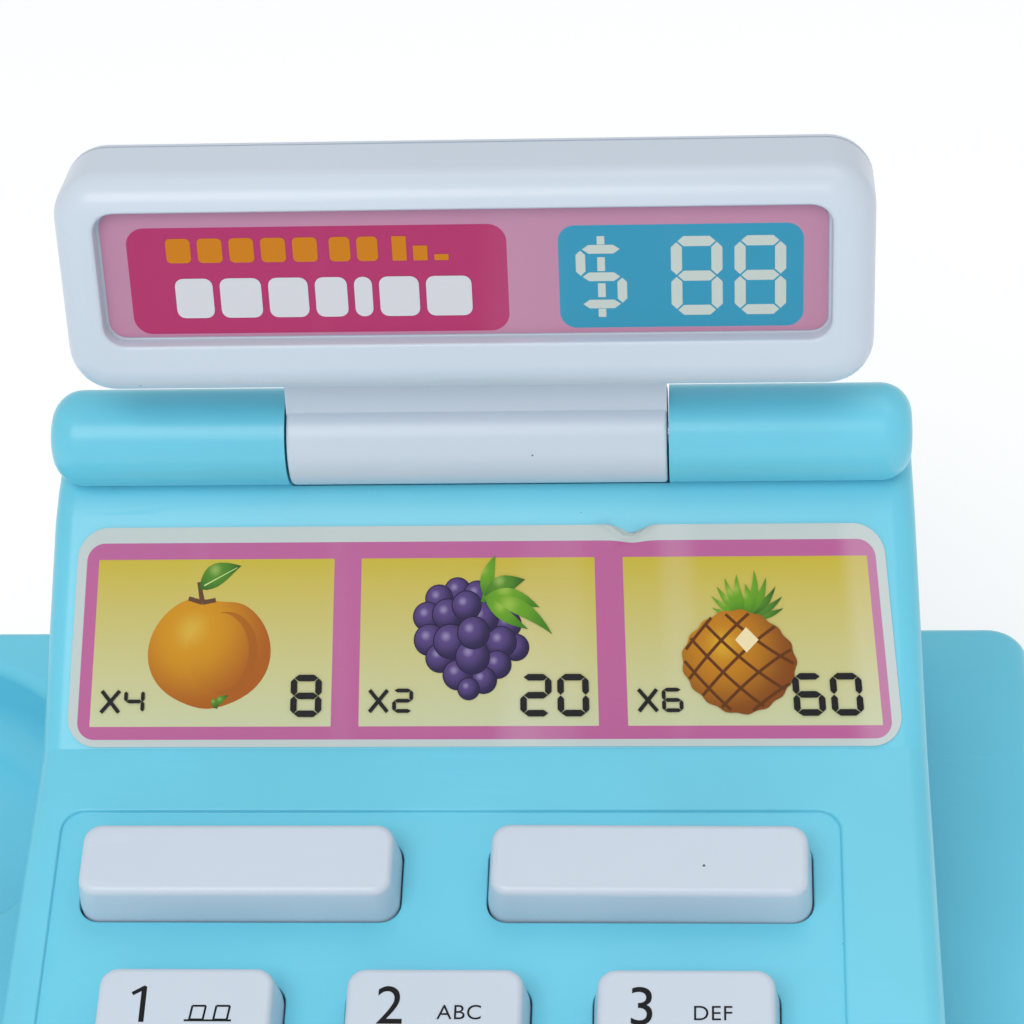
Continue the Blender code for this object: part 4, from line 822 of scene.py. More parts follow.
@functools.cache
def spread_tree():
    """Geometry nodes that lay one pattern on every point, turned and stretched as the point says."""
    tree, w, entry = new_group(
        "pattern on points", "GeometryNodeTree",
        [("Points", "Geometry", None), ("Pattern", "Object", None), ("Finish", "Material", None)],
        [("Geometry", "Geometry")],
    )
    pattern = w.node("GeometryNodeObjectInfo", {"Object": entry["Pattern"]})
    turn, size = (
        w.node("GeometryNodeInputNamedAttribute", {"Name": label}, data_type="FLOAT_VECTOR").outputs["Attribute"]
        for label in ("turn", "size")
    )
    placed = w.node("GeometryNodeInstanceOnPoints", {
        "Points": entry["Points"], "Instance": pattern.outputs["Geometry"], "Rotation": turn, "Scale": size,
    })
    finish_tree(w, placed.outputs[0], entry["Finish"])
    return tree


def spread(name, pattern, points, material):
    """The pattern object laid on (place, turn, size) points by geometry nodes, as a plain mesh."""
    mesh = bpy.data.meshes.new(name)
    mesh.from_pydata([point for point, _, _ in points], [], [])
    for label, column in (("turn", 1), ("size", 2)):
        layer = mesh.attributes.new(label, "FLOAT_VECTOR", "POINT")
        for item, row in zip(layer.data, points):
            item.vector = row[column]
    plain = run_tree(put(name, mesh), spread_tree(), {"Pattern": pattern, "Finish": material})
    made = plain.data
    drop(plain, pattern)
    return made


def bar_pattern(width, gap):
    """A unit bar with pointed ends, one millimetre long before it is stretched."""
    half, reach = width / 2, 0.5 - gap
    tip = reach - half
    outline = [(-reach, 0), (-tip, -half), (tip, -half), (reach, 0), (tip, half), (-tip, half)]
    return lofted("bar_pattern", [[Vector((x, y, z)) for x, y in outline] for z in (0, 1)])


def add_digits(sheet, text, x, y, width, height, stroke, material, pitch=0.0, gap=0.03):
    """Seven-segment digits whose strokes' middles fill width by height from x, y."""
    sheet.level += 1
    points = []
    for k, character in enumerate(text):
        for letter in SEGMENTS[character]:
            across, up, span, upright = segment_ends(letter, width, height)
            turn = (0, 0, QUARTER if upright else 0)
            points.append(((x + k * pitch + across, y + up, 0), turn, (span, height / 2, sheet.THICKNESS)))
    mesh = spread("digits", bar_pattern(stroke / (height / 2), gap), points, material)
    sheet.mesh(mesh, Matrix.Translation((0, 0, sheet.lift + sheet.LAYER * sheet.level)), material)


def text_mesh(text, size, thick, weight, spacing=1.0):
    """A line of figures in the built-in face, centred, as a mesh in millimetres."""
    curve = bpy.data.curves.new("figures", "FONT")
    curve.body = text
    curve.size = size
    curve.extrude = thick / 2
    curve.offset = weight
    curve.space_character = spacing
    curve.align_x = "CENTER"
    curve.align_y = "CENTER"
    curve.resolution_u = 6
    plain = settled(put("figures", curve))
    mesh = plain.data
    drop(plain)
    return mesh


# Housing


def prism_rings(outline, left, right):
    return [[Vector((x, y, z)) for y, z in outline] for x in (left, right)]


def console_outline():
    sizes = till().till_housing
    back = body_box()[3]
    _, crease_y, crease_z = crease()
    below = sizes.deck - sizes.wall
    front_y = crease_y - (crease_z - below) / math.tan(sizes.keypad_slope)
    top_y = crease_y + sizes.label_panel * math.cos(sizes.label_slope)
    top_z = crease_z + sizes.label_panel * math.sin(sizes.label_slope)
    return [
        (front_y, below),
        (back - 3 * MM, below),
        (HINGE.y + sizes.barrel * 1.08, HINGE.z - sizes.barrel * 0.35),
        (HINGE.y - sizes.barrel * 0.42, HINGE.z - sizes.barrel * 0.92),
        (top_y, top_z),
        (crease_y, crease_z),
    ]


def console_block(name, outline, half):
    """A prism across the console, with its sides leaned in."""
    middle, _, crease_z = crease()
    bm = bmesh.new()
    add_loft(bm, prism_rings(outline, middle - half, middle + half))
    lean = math.tan(till().till_housing.console_draft)
    for vertex in bm.verts:
        side = 1 if vertex.co.x > middle else -1
        vertex.co.x = middle + side * (half - (vertex.co.z - crease_z) * lean)
    return new_object(name, bm)


def console_tool():
    sizes = till().till_housing
    tool = console_block("console", console_outline(), sizes.console_width / 2)
    for name, width, segments, limit in (("soft_edges", sizes.console_round, 7, 50), ("soft_crease", 0.7 * MM, 3, 17)):
        bevel = tool.modifiers.new(name, "BEVEL")
        bevel.width = width
        bevel.segments = segments
        bevel.limit_method = "ANGLE"
        bevel.angle_limit = math.radians(limit)
    return settled(tool)


def console_hollow():
    sizes = till().till_housing
    outline = inset_outline(console_outline(), sizes.wall)
    foot_y, foot_z = outline[0]
    low = foot_z - 3 * sizes.wall
    slope = math.tan(sizes.keypad_slope)
    front_y = max(body_box()[2] + sizes.wall, foot_y - 2 * sizes.wall / slope)
    front_z = foot_z - (foot_y - front_y) * slope
    outline[:2] = [(front_y, front_z), (front_y, low), (outline[1][0], low)]
    return console_block("console_hollow", outline, sizes.console_width / 2 - sizes.wall)


def barrel_tool(side):
    sizes = till().till_housing
    inner = till().till_display.barrel_length / 2 + BARREL_GAP
    outer = sizes.console_width / 2 - (HINGE.z - crease()[2]) * math.tan(sizes.console_draft)
    rings = [circle(sizes.barrel, inner)]
    rings += [circle(sizes.barrel - inset, outer - fall) for inset, fall in fillet_steps(sizes.barrel_end, 8)]
    return lofted(f"barrel_{side}", rings, Matrix.Translation(HINGE) @ Matrix.Rotation(QUARTER * side, 4, "Y"))


def deck_tools():
    """The deck block and its hollow."""
    sizes = till().till_housing
    left, right, front, back = body_box()
    half_x, half_y = (right - left) / 2, (back - front) / 2
    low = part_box("base_shell")[1][2] + 0.3 * MM
    wall = sizes.wall
    block = block_rings(half_x, half_y, sizes.corner, low, sizes.deck, top_round=sizes.deck_round)
    hollow = block_rings(half_x - wall, half_y - wall, sizes.corner - wall / 2, low - wall, sizes.deck - wall)
    return lofted("housing_top", block), lofted("deck_hollow", hollow)


def bowl_tools():
    sizes = till().till_housing
    left, _, _, back = body_box()
    place = Matrix.Translation((left + sizes.bowl_margin + sizes.bowl_radius, back - sizes.bowl_to_back, 0))
    radius, wall, deck = sizes.bowl_radius, sizes.wall, sizes.deck
    floor = deck - sizes.bowl_depth
    outside = bowl_rings(radius + wall, floor - wall, deck - wall / 2, sizes.bowl_floor + wall)
    inside = bowl_rings(radius, floor, deck, sizes.bowl_floor, 1.8 * MM, deck + 4 * MM)
    return lofted("bowl_outside", outside, place), lofted("bowl_inside", inside, place)


def recess_tool():
    sizes = till().till_keys
    half_x = (sizes.recess_right - sizes.recess_left) / 2
    half_v = (sizes.recess_bottom - sizes.recess_top) / 2
    middle = (keypad_middle(), -(sizes.recess_top + sizes.recess_bottom) / 2, 0)
    rings = pocket_rings(half_x, half_v, 2.4 * MM, -sizes.recess_depth, 0, 0.2 * MM, 0.3 * MM, ABOVE)
    return lofted("keypad_recess", rings, keypad_frame() @ Matrix.Translation(middle))


def key_hole_tool():
    sizes = till().till_keys
    bm = bmesh.new()
    holes = [(x, v, sizes.width, sizes.height) for _, x, v in number_key_places()]
    holes += [(x, v, sizes.wide_width, sizes.wide_height) for x, v in wide_key_places()]
    floor = -sizes.recess_depth
    for x, v, width, height in holes:
        half_x, half_v = width / 2 + sizes.clearance, height / 2 + sizes.clearance
        rings = []
        for grow, h in (
            (0, floor - 3.4 * MM), (0, floor - 0.25 * MM), (0.08 * MM, floor - 0.07 * MM),
            (0.25 * MM, floor + 0.002 * MM), (0.25 * MM, ABOVE),
        ):
            rings.append(rounded_rectangle(half_x + grow, half_v + grow, sizes.corner + grow, h))
        add_loft(bm, rings, keypad_frame() @ Matrix.Translation((x, -v, 0)))
    return new_object("key_holes", bm)


def hinge_tools():
    """The notch for the display's barrel and the pin's bore."""
    half = till().till_display.barrel_length / 2 + BARREL_GAP
    notch = [circle(till().till_housing.barrel + 0.25 * MM, z) for z in (-half, half)]
    bore = [circle(1.6 * MM, z, 20) for z in (-36.3 * MM, 36.3 * MM)]
    return lofted("hinge_notch", notch, along_x(*HINGE)), lofted("pin_bore", bore, along_x(*HINGE))


def build_housing():
    block, hollow = deck_tools()
    bowl_outside, bowl_inside = bowl_tools()
    notch, bore = hinge_tools()
    shell = carve(
        block,
        ("DIFFERENCE", hollow), ("UNION", bowl_outside), ("DIFFERENCE", bowl_inside),
        ("UNION", console_tool()), ("UNION", barrel_tool(-1)), ("UNION", barrel_tool(1)),
        ("DIFFERENCE", console_hollow()), ("DIFFERENCE", recess_tool()), ("DIFFERENCE", key_hole_tool()),
        ("DIFFERENCE", notch), ("DIFFERENCE", bore),
    )
    finish_piece(shell, "housing", [blue_plastic()], ["top_shell"])


# Keys


def key_pattern(name, width, height):
    """A key cap with its flange, in the keypad's frame, round its own middle."""
    sizes = till().till_keys
    flange = 1.2 * MM
    under = -sizes.recess_depth - till().till_housing.wall - 0.3 * MM
    half_x, half_v = width / 2, height / 2
    rings = [rounded_rectangle(half_x + flange, half_v + flange, sizes.corner, h, 8) for h in (under - flange, under)]
    profile = [(0, under), (0, 0)]
    profile += [(sizes.draft + inset, sizes.stands - fall) for inset, fall in fillet_steps(sizes.edge, 6)]
    profile.append((sizes.draft + sizes.edge + 1.2 * MM, sizes.stands - KEY_DISH))
    for inset, h in profile:
        rings.append(rounded_rectangle(half_x - inset, half_v - inset, max(sizes.corner - inset * 0.6, 0.4 * MM), h, 8))
    return lofted(name, rings)


@functools.cache
def key_tree():
    """Geometry nodes that set a pattern key down at its place on the keypad."""
    tree, w, entry = new_group(
        "key in its place", "GeometryNodeTree",
        [("Key", "Geometry", None), ("Across", "Float", None), ("Down", "Float", None), ("Finish", "Material", None)],
        [("Geometry", "Geometry")],
    )
    place = w.node("ShaderNodeCombineXYZ", {"X": entry["Across"], "Y": w.maths("MULTIPLY", entry["Down"], -1.0)})
    moved = w.node("GeometryNodeTransform", {"Geometry": entry["Key"], "Translation": place.outputs[0]})
    finish_tree(w, moved.outputs[0], entry["Finish"])
    return tree


def set_key(pattern, name, x, v, turn=0.0):
    """A copy of the pattern key, placed by the key tree, in world coordinates."""
    wanted = {"Across": x, "Down": v, "Finish": white_plastic()}
    key = run_tree(put(name, pattern.data.copy()), key_tree(), wanted)
    spin = Matrix.Translation((x, -v, 0)) @ Matrix.Rotation(turn, 4, "Z") @ Matrix.Translation((-x, v, 0))
    key.data.transform(keypad_frame() @ spin)
    return key


def build_number_keys():
    sizes = till().till_keys
    pattern = key_pattern("number_key_pattern", sizes.width, sizes.height)
    for name, x, v in number_key_places():
        key = set_key(pattern, f"number_key_cap_{name}", x, v)
        finish_piece(key, f"number_key_{name}", [white_plastic()], [f"key_{name}"])
    drop(pattern)


def build_wide_keys():
    """The left wide key, and the release key, which sits a little askew and carries a stem down to the latch."""
    sizes = till().till_keys
    pattern = key_pattern("wide_key_pattern", sizes.wide_width, sizes.wide_height)
    (left_x, left_v), (x, v) = wide_key_places()
    key = set_key(pattern, "wide_key_cap", left_x, left_v)
    finish_piece(key, "wide_key", [white_plastic()], ["wide_key_left"])
    release = set_key(pattern, "release_key_cap", x, v, math.radians(-0.3))
    foot = keypad_frame() @ Matrix.Translation((x + 10 * MM, -v, 0))
    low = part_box("drawer_release_key")[0]
    reach = (foot.translation.z - low[2]) / math.cos(till().till_housing.keypad_slope) - 0.7 * MM
    stem = lofted("release_stem", [circle(2 * MM, z, 24) for z in (-reach, 2 * MM)], foot)
    finish_piece(carve(release, ("UNION", stem)), "release_key", [white_plastic()], ["drawer_release_key"])
    drop(pattern)


LETTERS = {"2": "ABC", "3": "DEF", "4": "GHI", "5": "JKL", "6": "MNO", "7": "PQRS", "8": "TUV", "9": "WXYZ"}
# (size, middle across) of a letter group, by its length
LETTER_SIZES = {3: (2.35, 2.7), 4: (2.05, 2.8)}


def build_key_print():
    """Figures and letter groups on the number keys, one printed piece on each key's own body."""
    stands = till().till_keys.stands
    black = ink("key_ink", till().till_finish.ink[:], dots=0.01)
    thick = 0.04
    for name, x, v in number_key_places():
        sheet = Print(stands / MM - 0.03)
        lift = sheet.lift + thick / 2
        figure = {"star": "*", "hash": "#"}.get(name, name)
        letters = LETTERS.get(name, "")
        side = -4.5 if letters or name == "1" else 0.0
        if name == "1":
            sheet.stroke((side + 0.25, -2.05), (side + 0.25, 2.0), 0.55, black)
            sheet.stroke((side - 0.95, 1.15), (side + 0.4, 1.95), 0.42, black)
            add_tape_mark(sheet, black)
        else:
            up = -1.6 if figure == "*" else -0.3
            sheet.mesh(text_mesh(figure, 6.2, thick, -0.02), Matrix.Translation((side, up, lift)), black)
        if letters:
            size, across = LETTER_SIZES[len(letters)]
            mesh = text_mesh(letters, size, thick, -0.012, 1.05)
            sheet.mesh(mesh, Matrix.Translation((across, -0.9, lift)), black)
        sheet.bm.transform(Matrix.Translation((x / MM, -v / MM, 0)))
        made = sheet.lay(f"key_figure_{name}", keypad_frame())
        finish_piece(made, f"number_key_{name}", sheet.materials, weighted=False)


def add_tape_mark(sheet, material):
    """Two small linked frames, the usual sign for recorded messages."""
    stroke = 0.22
    for left in (0.4, 2.9):
        corners = [(left + 0.35, -1.75), (left + 1.75, -1.75), (left + 1.95, -0.2), (left + 0.55, -0.2)]
        for start, end in zip(corners, corners[1:] + corners[:1]):
            sheet.stroke(start, end, stroke, material)
    sheet.stroke((0.2, -1.85), (5.1, -1.85), stroke, material)


# Price label, in millimetres up the label panel from the crease

LABEL_HIGH = 24.4
# (middle, height, half width, slant) of the small ridges in the label's lifted top edge
RIDGES = ((14.4, 0.55, 0.8, 1.9), (17.2, 0.75, 0.55, -1.2), (18.6, 0.40, 0.5, -2.0))
WINDOWS = [(-43.5, -16.5), (-13.4, 13.1), (16.3, 43.9)]
WINDOW_LOW, WINDOW_HIGH = 2.45, 21.05
# (count, price, price's place across the window)
PRICES = (("4", "8", 0.845), ("2", "20", 0.69), ("6", "60", 0.67))


def bump(offset, reach):
    return math.exp(-((offset / reach) ** 2))


def label_warp(point):
    """Follows the sticker's taper, and lifts it in a small crease at its top edge."""
    share = point.y / 24.2
    x = point.x * (1.011 - 0.046 * share if point.x > 0 else 1 - 0.025 * share)
    ridge = 0.0
    for middle, size, run, slant in RIDGES:
        line = (x - middle) + (point.y - LABEL_HIGH) * slant
        ridge += size * bump(line, run) * bump(point.y - LABEL_HIGH - 0.5, 1.5)
    pull = -0.85 * bump(x - 16.9, 1.5) * max(0.0, (point.y - 22.2) / 2.2)
    return Vector((x, point.y + pull, point.z + ridge))


def sticker(name, panel, half_width, low, high, corner, thick, warp=None, across=184, up=50):
    """A thin rounded sheet on its panel with an even grid on its face, mapped in its own millimetres."""
    bm = bmesh.new()
    layer = bm.loops.layers.uv.new("label")

    def edge_inset(y):
        into = max(corner - (y - low), corner - (high - y), 0.0)
        return corner - math.sqrt(max(0.0, corner**2 - into**2))

    ys = [low + (high - low) * (0.5 - 0.5 * math.cos(math.pi * k / up)) for k in range(up + 1)]
    grid = {}
    for level, z in enumerate((0.03, thick)):
        for j, y in enumerate(ys):
            reach = half_width - edge_inset(y)
            for i in range(across + 1):
                grid[level, i, j] = bm.verts.new((reach * (2 * i / across - 1), y, z))
    flat = {vertex: vertex.co.copy() for vertex in bm.verts}
    for j in range(up):
        for i in range(across):
            square = [(i, j), (i + 1, j), (i + 1, j + 1), (i, j + 1)]
            bm.faces.new([grid[(1, *c)] for c in square])
            bm.faces.new([grid[(0, *c)] for c in square[::-1]])
    rim = [(i, 0) for i in range(across)] + [(across, j) for j in range(up)]
    rim += [(i, up) for i in range(across, 0, -1)] + [(0, j) for j in range(up, 0, -1)]
    for start, end in zip(rim, rim[1:] + rim[:1]):
        bm.faces.new([grid[(0, *start)], grid[(0, *end)], grid[(1, *end)], grid[(1, *start)]])
    for face in bm.faces:
        for loop in face.loops:
            loop[layer].uv = flat[loop.vert][:2]
    if warp:
        for vertex in bm.verts:
            vertex.co = warp(vertex.co)
    bm.transform(panel @ Matrix.Scale(MM, 4))
    return new_object(name, bm)


def in_window(index, s, t):
    """A point of a price window, s across it and t up it, as label millimetres."""
    left, right = WINDOWS[index]
    return left + (right - left) * s, WINDOW_LOW + (WINDOW_HIGH - WINDOW_LOW) * t


def build_price_label():
    finish = till().till_finish
    shades = (finish.yellow[:], finish.cream[:])
    middle_y, half_y = (WINDOW_LOW + WINDOW_HIGH) / 2, (WINDOW_HIGH - WINDOW_LOW) / 2
    patches = [(0, 11.95, 44.9, 10.95, 2.0, finish.pink[:])]
    patches += [((left + right) / 2, middle_y, (right - left) / 2, half_y, 0.1, shades) for left, right in WINDOWS]
    film = printed_film("price_label_film", finish.border[:], patches, 0.12)
    sheet = sticker("price_sticker", label_frame(), 46.0, 0.2, 24.65, 3.4, 0.22, label_warp)
    finish_piece(sheet, "housing", [film], ["price_label"], sharp=50, weighted=False)

    art = Print(0.225)
    draw_orange(art)
    draw_grapes(art)
    draw_pineapple(art)
    black = ink("price_ink", finish.ink[:], dots=0.01)
    for index, (count, price, across) in enumerate(PRICES):
        x, y = in_window(index, 0.045, 0.085)
        art.stroke((x, y), (x + 2.0, y + 2.4), 0.42, black)
        art.stroke((x, y + 2.4), (x + 2.0, y), 0.42, black)
        add_digits(art, count, x + 2.75, y + 0.1, 1.9, 2.25, 0.42, black, gap=0.005)
        x, y = in_window(index, across, 0.075)
        add_digits(art, price, x, y, 2.75, 3.95, 0.72, black, pitch=4.1, gap=0.015)
    made = art.lay("price_print", label_frame(), label_warp)
    finish_piece(made, "housing", art.materials, weighted=False)


def old_leaf():
    return ink("leaf_print", (0.08, 0.24, 0.015), (0.025, 0.11, 0.006), (0.30, 0.45, 0.09))


def young_leaf():
    return ink("young_leaf", (0.13, 0.34, 0.012), (0.05, 0.20, 0.006), (0.32, 0.50, 0.06))


def draw_orange(art):
    peel = ink("orange_peel", (0.62, 0.275, 0.003), (0.40, 0.10, 0.002), (0.68, 0.44, 0.05))
    shadow = ink("orange_shadow", (0.42, 0.13, 0.002), (0.38, 0.10, 0.002), (0.50, 0.18, 0.004))
    twig = ink("twig_print", (0.12, 0.05, 0.02))
    x, y = in_window(0, 0.485, 0.455)
    outline = []
    for k in range(56):
        turn = 2 * math.pi * k / 56
        dent = 0.75 * bump(turn - QUARTER + 0.12, 0.36) + 0.25 * bump(turn - 3 * QUARTER, 0.3)
        outline.append((x + (6.95 - 0.3 * math.sin(turn)) * math.cos(turn), y + 6.25 * math.sin(turn) - dent))
    art.shape(outline, peel, (x, y), 6.9)
    art.shape(oval(x + 1.9, y - 0.3, 3.6, 4.6, 32), shadow, (x + 1.2, y + 1.4), 5.4)
    art.shape(oval(x + 1.0, y - 0.2, 3.5, 4.4, 32), peel, (x - 0.4, y + 0.4), 7.2)
    top_x, top_y = x - 1.0, y + 5.3
    art.stroke((top_x, top_y), (top_x - 0.5, top_y + 2.3), 0.6, twig, taper=0.7)
    art.stroke((top_x - 1.6, top_y + 0.5), (top_x, top_y), 0.5, twig)
    art.stroke((top_x + 1.5, top_y + 0.3), (top_x, top_y), 0.5, twig)
    art.leaf((top_x - 0.4, top_y + 1.5), (top_x + 4.3, top_y + 4.1), 2.5, old_leaf(), 0.10)
    vein = ink("leaf_vein", (0.55, 0.70, 0.25))
    art.stroke((top_x + 0.1, top_y + 1.9), (top_x + 3.8, top_y + 3.9), 0.16, vein, taper=0.4)
    art.leaf((x + 0.8, y - 6.3), (x + 2.4, y - 5.0), 0.8, old_leaf(), 0.1)
    art.leaf((x + 1.2, y - 6.5), (x + 0.6, y - 5.2), 0.6, old_leaf(), 0.1)


# (x, y, radius) of each grape from the bunch's middle, the hindmost first
GRAPES = (
    (-1.0, 5.9, 1.7), (1.6, 5.4, 1.8), (3.6, 4.0, 1.7), (-3.4, 4.9, 1.8), (-4.9, 2.6, 1.9), (5.6, 1.6, 1.7),
    (-4.6, -0.4, 1.9), (6.6, -1.4, 1.6), (4.7, -0.7, 1.9), (-2.3, 2.9, 2.0), (2.3, 2.4, 2.0), (0.2, 4.0, 1.9),
    (-3.2, -2.7, 1.9), (4.2, -3.6, 1.8), (2.4, -5.6, 1.7), (-0.9, -4.9, 1.8), (0.5, -6.7, 1.3),
    (-1.9, -0.6, 2.1), (1.0, -2.6, 2.1), (1.1, 0.5, 2.1),
)
# (tip x, tip y, width, bend) of each vine leaf from the stem
VINE_LEAVES = (
    (1.2, 4.6, 1.5, 0.05), (4.6, 1.9, 2.2, 0.08), (6.2, -1.2, 2.0, 0.08), (7.6, -4.2, 1.7, 0.10),
    (4.9, -3.6, 1.4, -0.05),
)


def draw_grapes(art):
    skin = ink("grape_skin", (0.090, 0.050, 0.200), (0.018, 0.010, 0.060), (0.300, 0.250, 0.450))
    rim = ink("grape_rim", (0.016, 0.008, 0.05), dots=0.01)
    x, y = in_window(1, 0.445, 0.53)
    size = 0.86
    draw = random.Random(4)
    for dx, dy, radius in GRAPES:
        radius *= size * draw.uniform(0.94, 1.04)
        art.disc(x + dx * size, y + dy * size, radius + 0.12, rim)
        art.disc(x + dx * size, y + dy * size, radius, skin)
    stem_x, stem_y = x + 2.2, y + 4.4
    art.stroke((stem_x - 0.2, stem_y - 0.6), (stem_x + 0.7, stem_y + 2.6), 0.5, young_leaf(), taper=0.6)
    for tip_x, tip_y, width, bend in VINE_LEAVES:
        green = old_leaf() if width > 2 else young_leaf()
        art.leaf((stem_x, stem_y), (stem_x + tip_x, stem_y + tip_y), width, green, bend)


# (degrees, length, width) of each leaf of the pineapple's crown
CROWN = (
    (12, 4.2, 0.8), (166, 4.0, 0.8), (28, 4.6, 0.8), (150, 4.5, 0.8), (44, 4.7, 0.85), (134, 4.6, 0.85),
    (61, 4.9, 0.85), (118, 4.8, 0.85), (78, 5.2, 0.9), (101, 4.7, 0.9), (90, 3.6, 1.0),
)


def draw_pineapple(art):
    rind = ink("pineapple_rind", (0.52, 0.20, 0.003), (0.22, 0.055, 0.001), (0.68, 0.38, 0.02))
    groove = ink("pineapple_groove", (0.12, 0.032, 0.002), dots=0.01)
    flesh = ink("pineapple_gleam", (0.86, 0.72, 0.42), dots=0.02)
    x, y = in_window(2, 0.452, 0.375)
    half_x, half_y = 6.15, 5.6
    crown = (x + 1.2, y + half_y - 0.6)
    for degrees, reach, width in CROWN:
        turn = math.radians(degrees)
        tip = (crown[0] + reach * math.cos(turn), crown[1] + reach * math.sin(turn))
        art.leaf(crown, tip, width, young_leaf() if degrees % 4 else old_leaf(), 0.08 if degrees > 90 else -0.08)
    outline = []
    for k in range(102):
        turn = 2 * math.pi * k / 102
        rough = 1 + 0.02 * math.cos(4 * turn) + 0.018 * math.cos(17 * turn)
        outline.append((x + half_x * rough * math.cos(turn), y + half_y * rough * math.sin(turn)))
    art.shape(outline, rind, (x, y), 6.2)
    steps = [step / 5 for step in range(-40, 41)]
    for slope in (1, -1):
        for k in range(-3, 4):
            lane = [(t, slope * t * 0.9 + k * 3.5 + 0.6 - slope * t * t * 0.03) for t in steps]
            run = [(x + dx, y + dy) for dx, dy in lane if (dx / half_x) ** 2 + (dy / half_y) ** 2 < 0.96]
            if len(run) > 4:
                art.ribbon(run, 0.34, groove)
    gleam = [(0, 1.5), (-1.3, 0.1), (-0.1, -1.3), (1.3, 0.1)]
    art.shape([(x + 1.0 + dx, y + 2.3 + dy) for dx, dy in gleam], flesh)


# Display


def build_display():
    """The case with its window, neck and hinge barrel, and the cover behind it."""
    sizes = till().till_display
    half_x, half_z = sizes.width / 2, sizes.height / 2
    barrel, half = till().till_housing.barrel, sizes.barrel_length / 2
    face = window_frame()
    back = -sizes.thickness + sizes.wall
    window = pocket_rings(
        sizes.window_width / 2, sizes.window_height / 2, 2.2 * MM, -sizes.window_depth, 0, 0.2 * MM, 0.5 * MM, 4 * MM
    )
    room = [
        rounded_rectangle(half_x - 2 * sizes.wall, half_z - sizes.wall, 2.5 * MM, z)
        for z in (-sizes.thickness, -sizes.window_depth - sizes.wall)
    ]
    neck_back = sizes.face + sizes.thickness - sizes.wall - 0.3 * MM
    neck_front, neck_low, neck_high = neck_back - sizes.neck, barrel * 0.4, sizes.rise + sizes.wall / 2
    neck = [(neck_front, neck_low), (neck_back, neck_low), (neck_back, neck_high), (neck_front, neck_high)]
    bore = [circle(1.45 * MM, z, 20) for z in (-2 * half, 2 * half)]
    case = block_rings(half_x, half_z, sizes.corner, back, 0, top_round=sizes.edge, steps=10, arc=8)
    case = carve(
        lofted("display_housing", case, face),
        ("DIFFERENCE", lofted("window", window, face @ Matrix.Translation((0, sizes.window_rise, 0)))),
        ("DIFFERENCE", lofted("room", room, face)),
        ("UNION", lofted("neck", prism_rings(neck, -half, half), display_frame())),
        ("UNION", lofted("drum", drum_rings(barrel, half, 0.4 * MM, 3), along_x(*HINGE))),
        ("DIFFERENCE", lofted("bore", bore, along_x(*HINGE))),
    )
    finish_piece(case, "display", [white_plastic()], ["display_case"])
    cover = block_rings(half_x, half_z, sizes.corner, -sizes.thickness, back - 0.3 * MM, low_round=1.2 * MM, steps=10)
    cover = lofted("display_rear_cover", cover, face)
    for side in (-1, 1):
        seat = face @ Matrix.Translation((side * sizes.width * 0.36, 0, 0))
        hole = lofted("hole", [circle(1.3 * MM, z, 24) for z in (-2 * sizes.thickness, 0)], seat)
        cover = carve(cover, ("DIFFERENCE", hole))
    finish_piece(cover, "display", [white_plastic()], ["display_back"])


def build_display_label():
    finish = till().till_finish
    sizes = till().till_display
    half_x, half_y = (side / 2 / MM - 0.35 for side in (sizes.window_width, sizes.window_height))
    patches = [
        (-15.35, -0.75, 20.0, 6.15, 2.0, finish.magenta[:]),
        (22.75, -0.8, 12.75, 5.9, 1.8, finish.screen_blue[:]),
    ]
    film = printed_film("display_label_film", finish.display_pink[:], patches, 0.02)
    panel = window_frame(sizes.window_depth) @ Matrix.Translation((0, sizes.window_rise, 0))
    sheet = sticker("display_sticker", panel, half_x, -half_y, half_y, 1.8, 0.2, across=100, up=40)
    finish_piece(sheet, "display", [film], ["display_label"], sharp=50, weighted=False)
    art = Print(0.205)
    pale = ink("display_figures", (0.55, 0.61, 0.57))
    add_digits(art, "88", 22.3, -4.75, 4.2, 7.9, 1.15, pale, pitch=6.6)
    draw_money_sign(art, pale)
    draw_status_bars(art)
    made = art.lay("display_print", panel)
    finish_piece(made, "display", art.materials, weighted=False)


def draw_money_sign(art, material):
    """The currency sign in display segments."""
    x, y, width, height = 12.3, -3.95, 4.3, 6.3
    add_digits(art, "$", x, y, width, height, 1.0, material, gap=0.04)
    middle = x + width / 2
    for low, high in ((-1.5, -0.55), (0.8, 2.4), (3.8, 5.4), (height + 0.55, height + 1.5)):
        art.stroke((middle, y + low), (middle, y + high), 0.8, material)


def draw_status_bars(art):
    """Blank bars where a till shows its message."""
    orange = ink("message_orange", (0.60, 0.20, 0.003))
    pale = ink("message_white", (0.66, 0.66, 0.70))

    def bars(x, y, widths, height, gap, corner, material):
        for width in widths:
            outline = rounded_rectangle(width / 2, height / 2, corner, 0, 4)
            art.shape([(point.x + x + width / 2, point.y + y) for point in outline], material)
            x += width + gap
        return x

    right = bars(-31.2, 2.75, [2.6] * 5, 2.8, 0.75, 0.5, orange)
    bars(right + 0.5, 2.75, [2.2] * 2, 2.8, 0.7, 0.5, orange)
    for step, height in enumerate((2.8, 1.7, 0.7)):
        bars(-7.35 + step * 2.2, 1.35 + height / 2, [1.5], height, 0, 0.1, orange)
    bars(-30.6, -2.75, (4.0, 4.4, 4.2, 3.4, 1.9, 4.2, 4.8), 4.6, 0.75, 0.9, pale)


# Drawer, screws and the inside


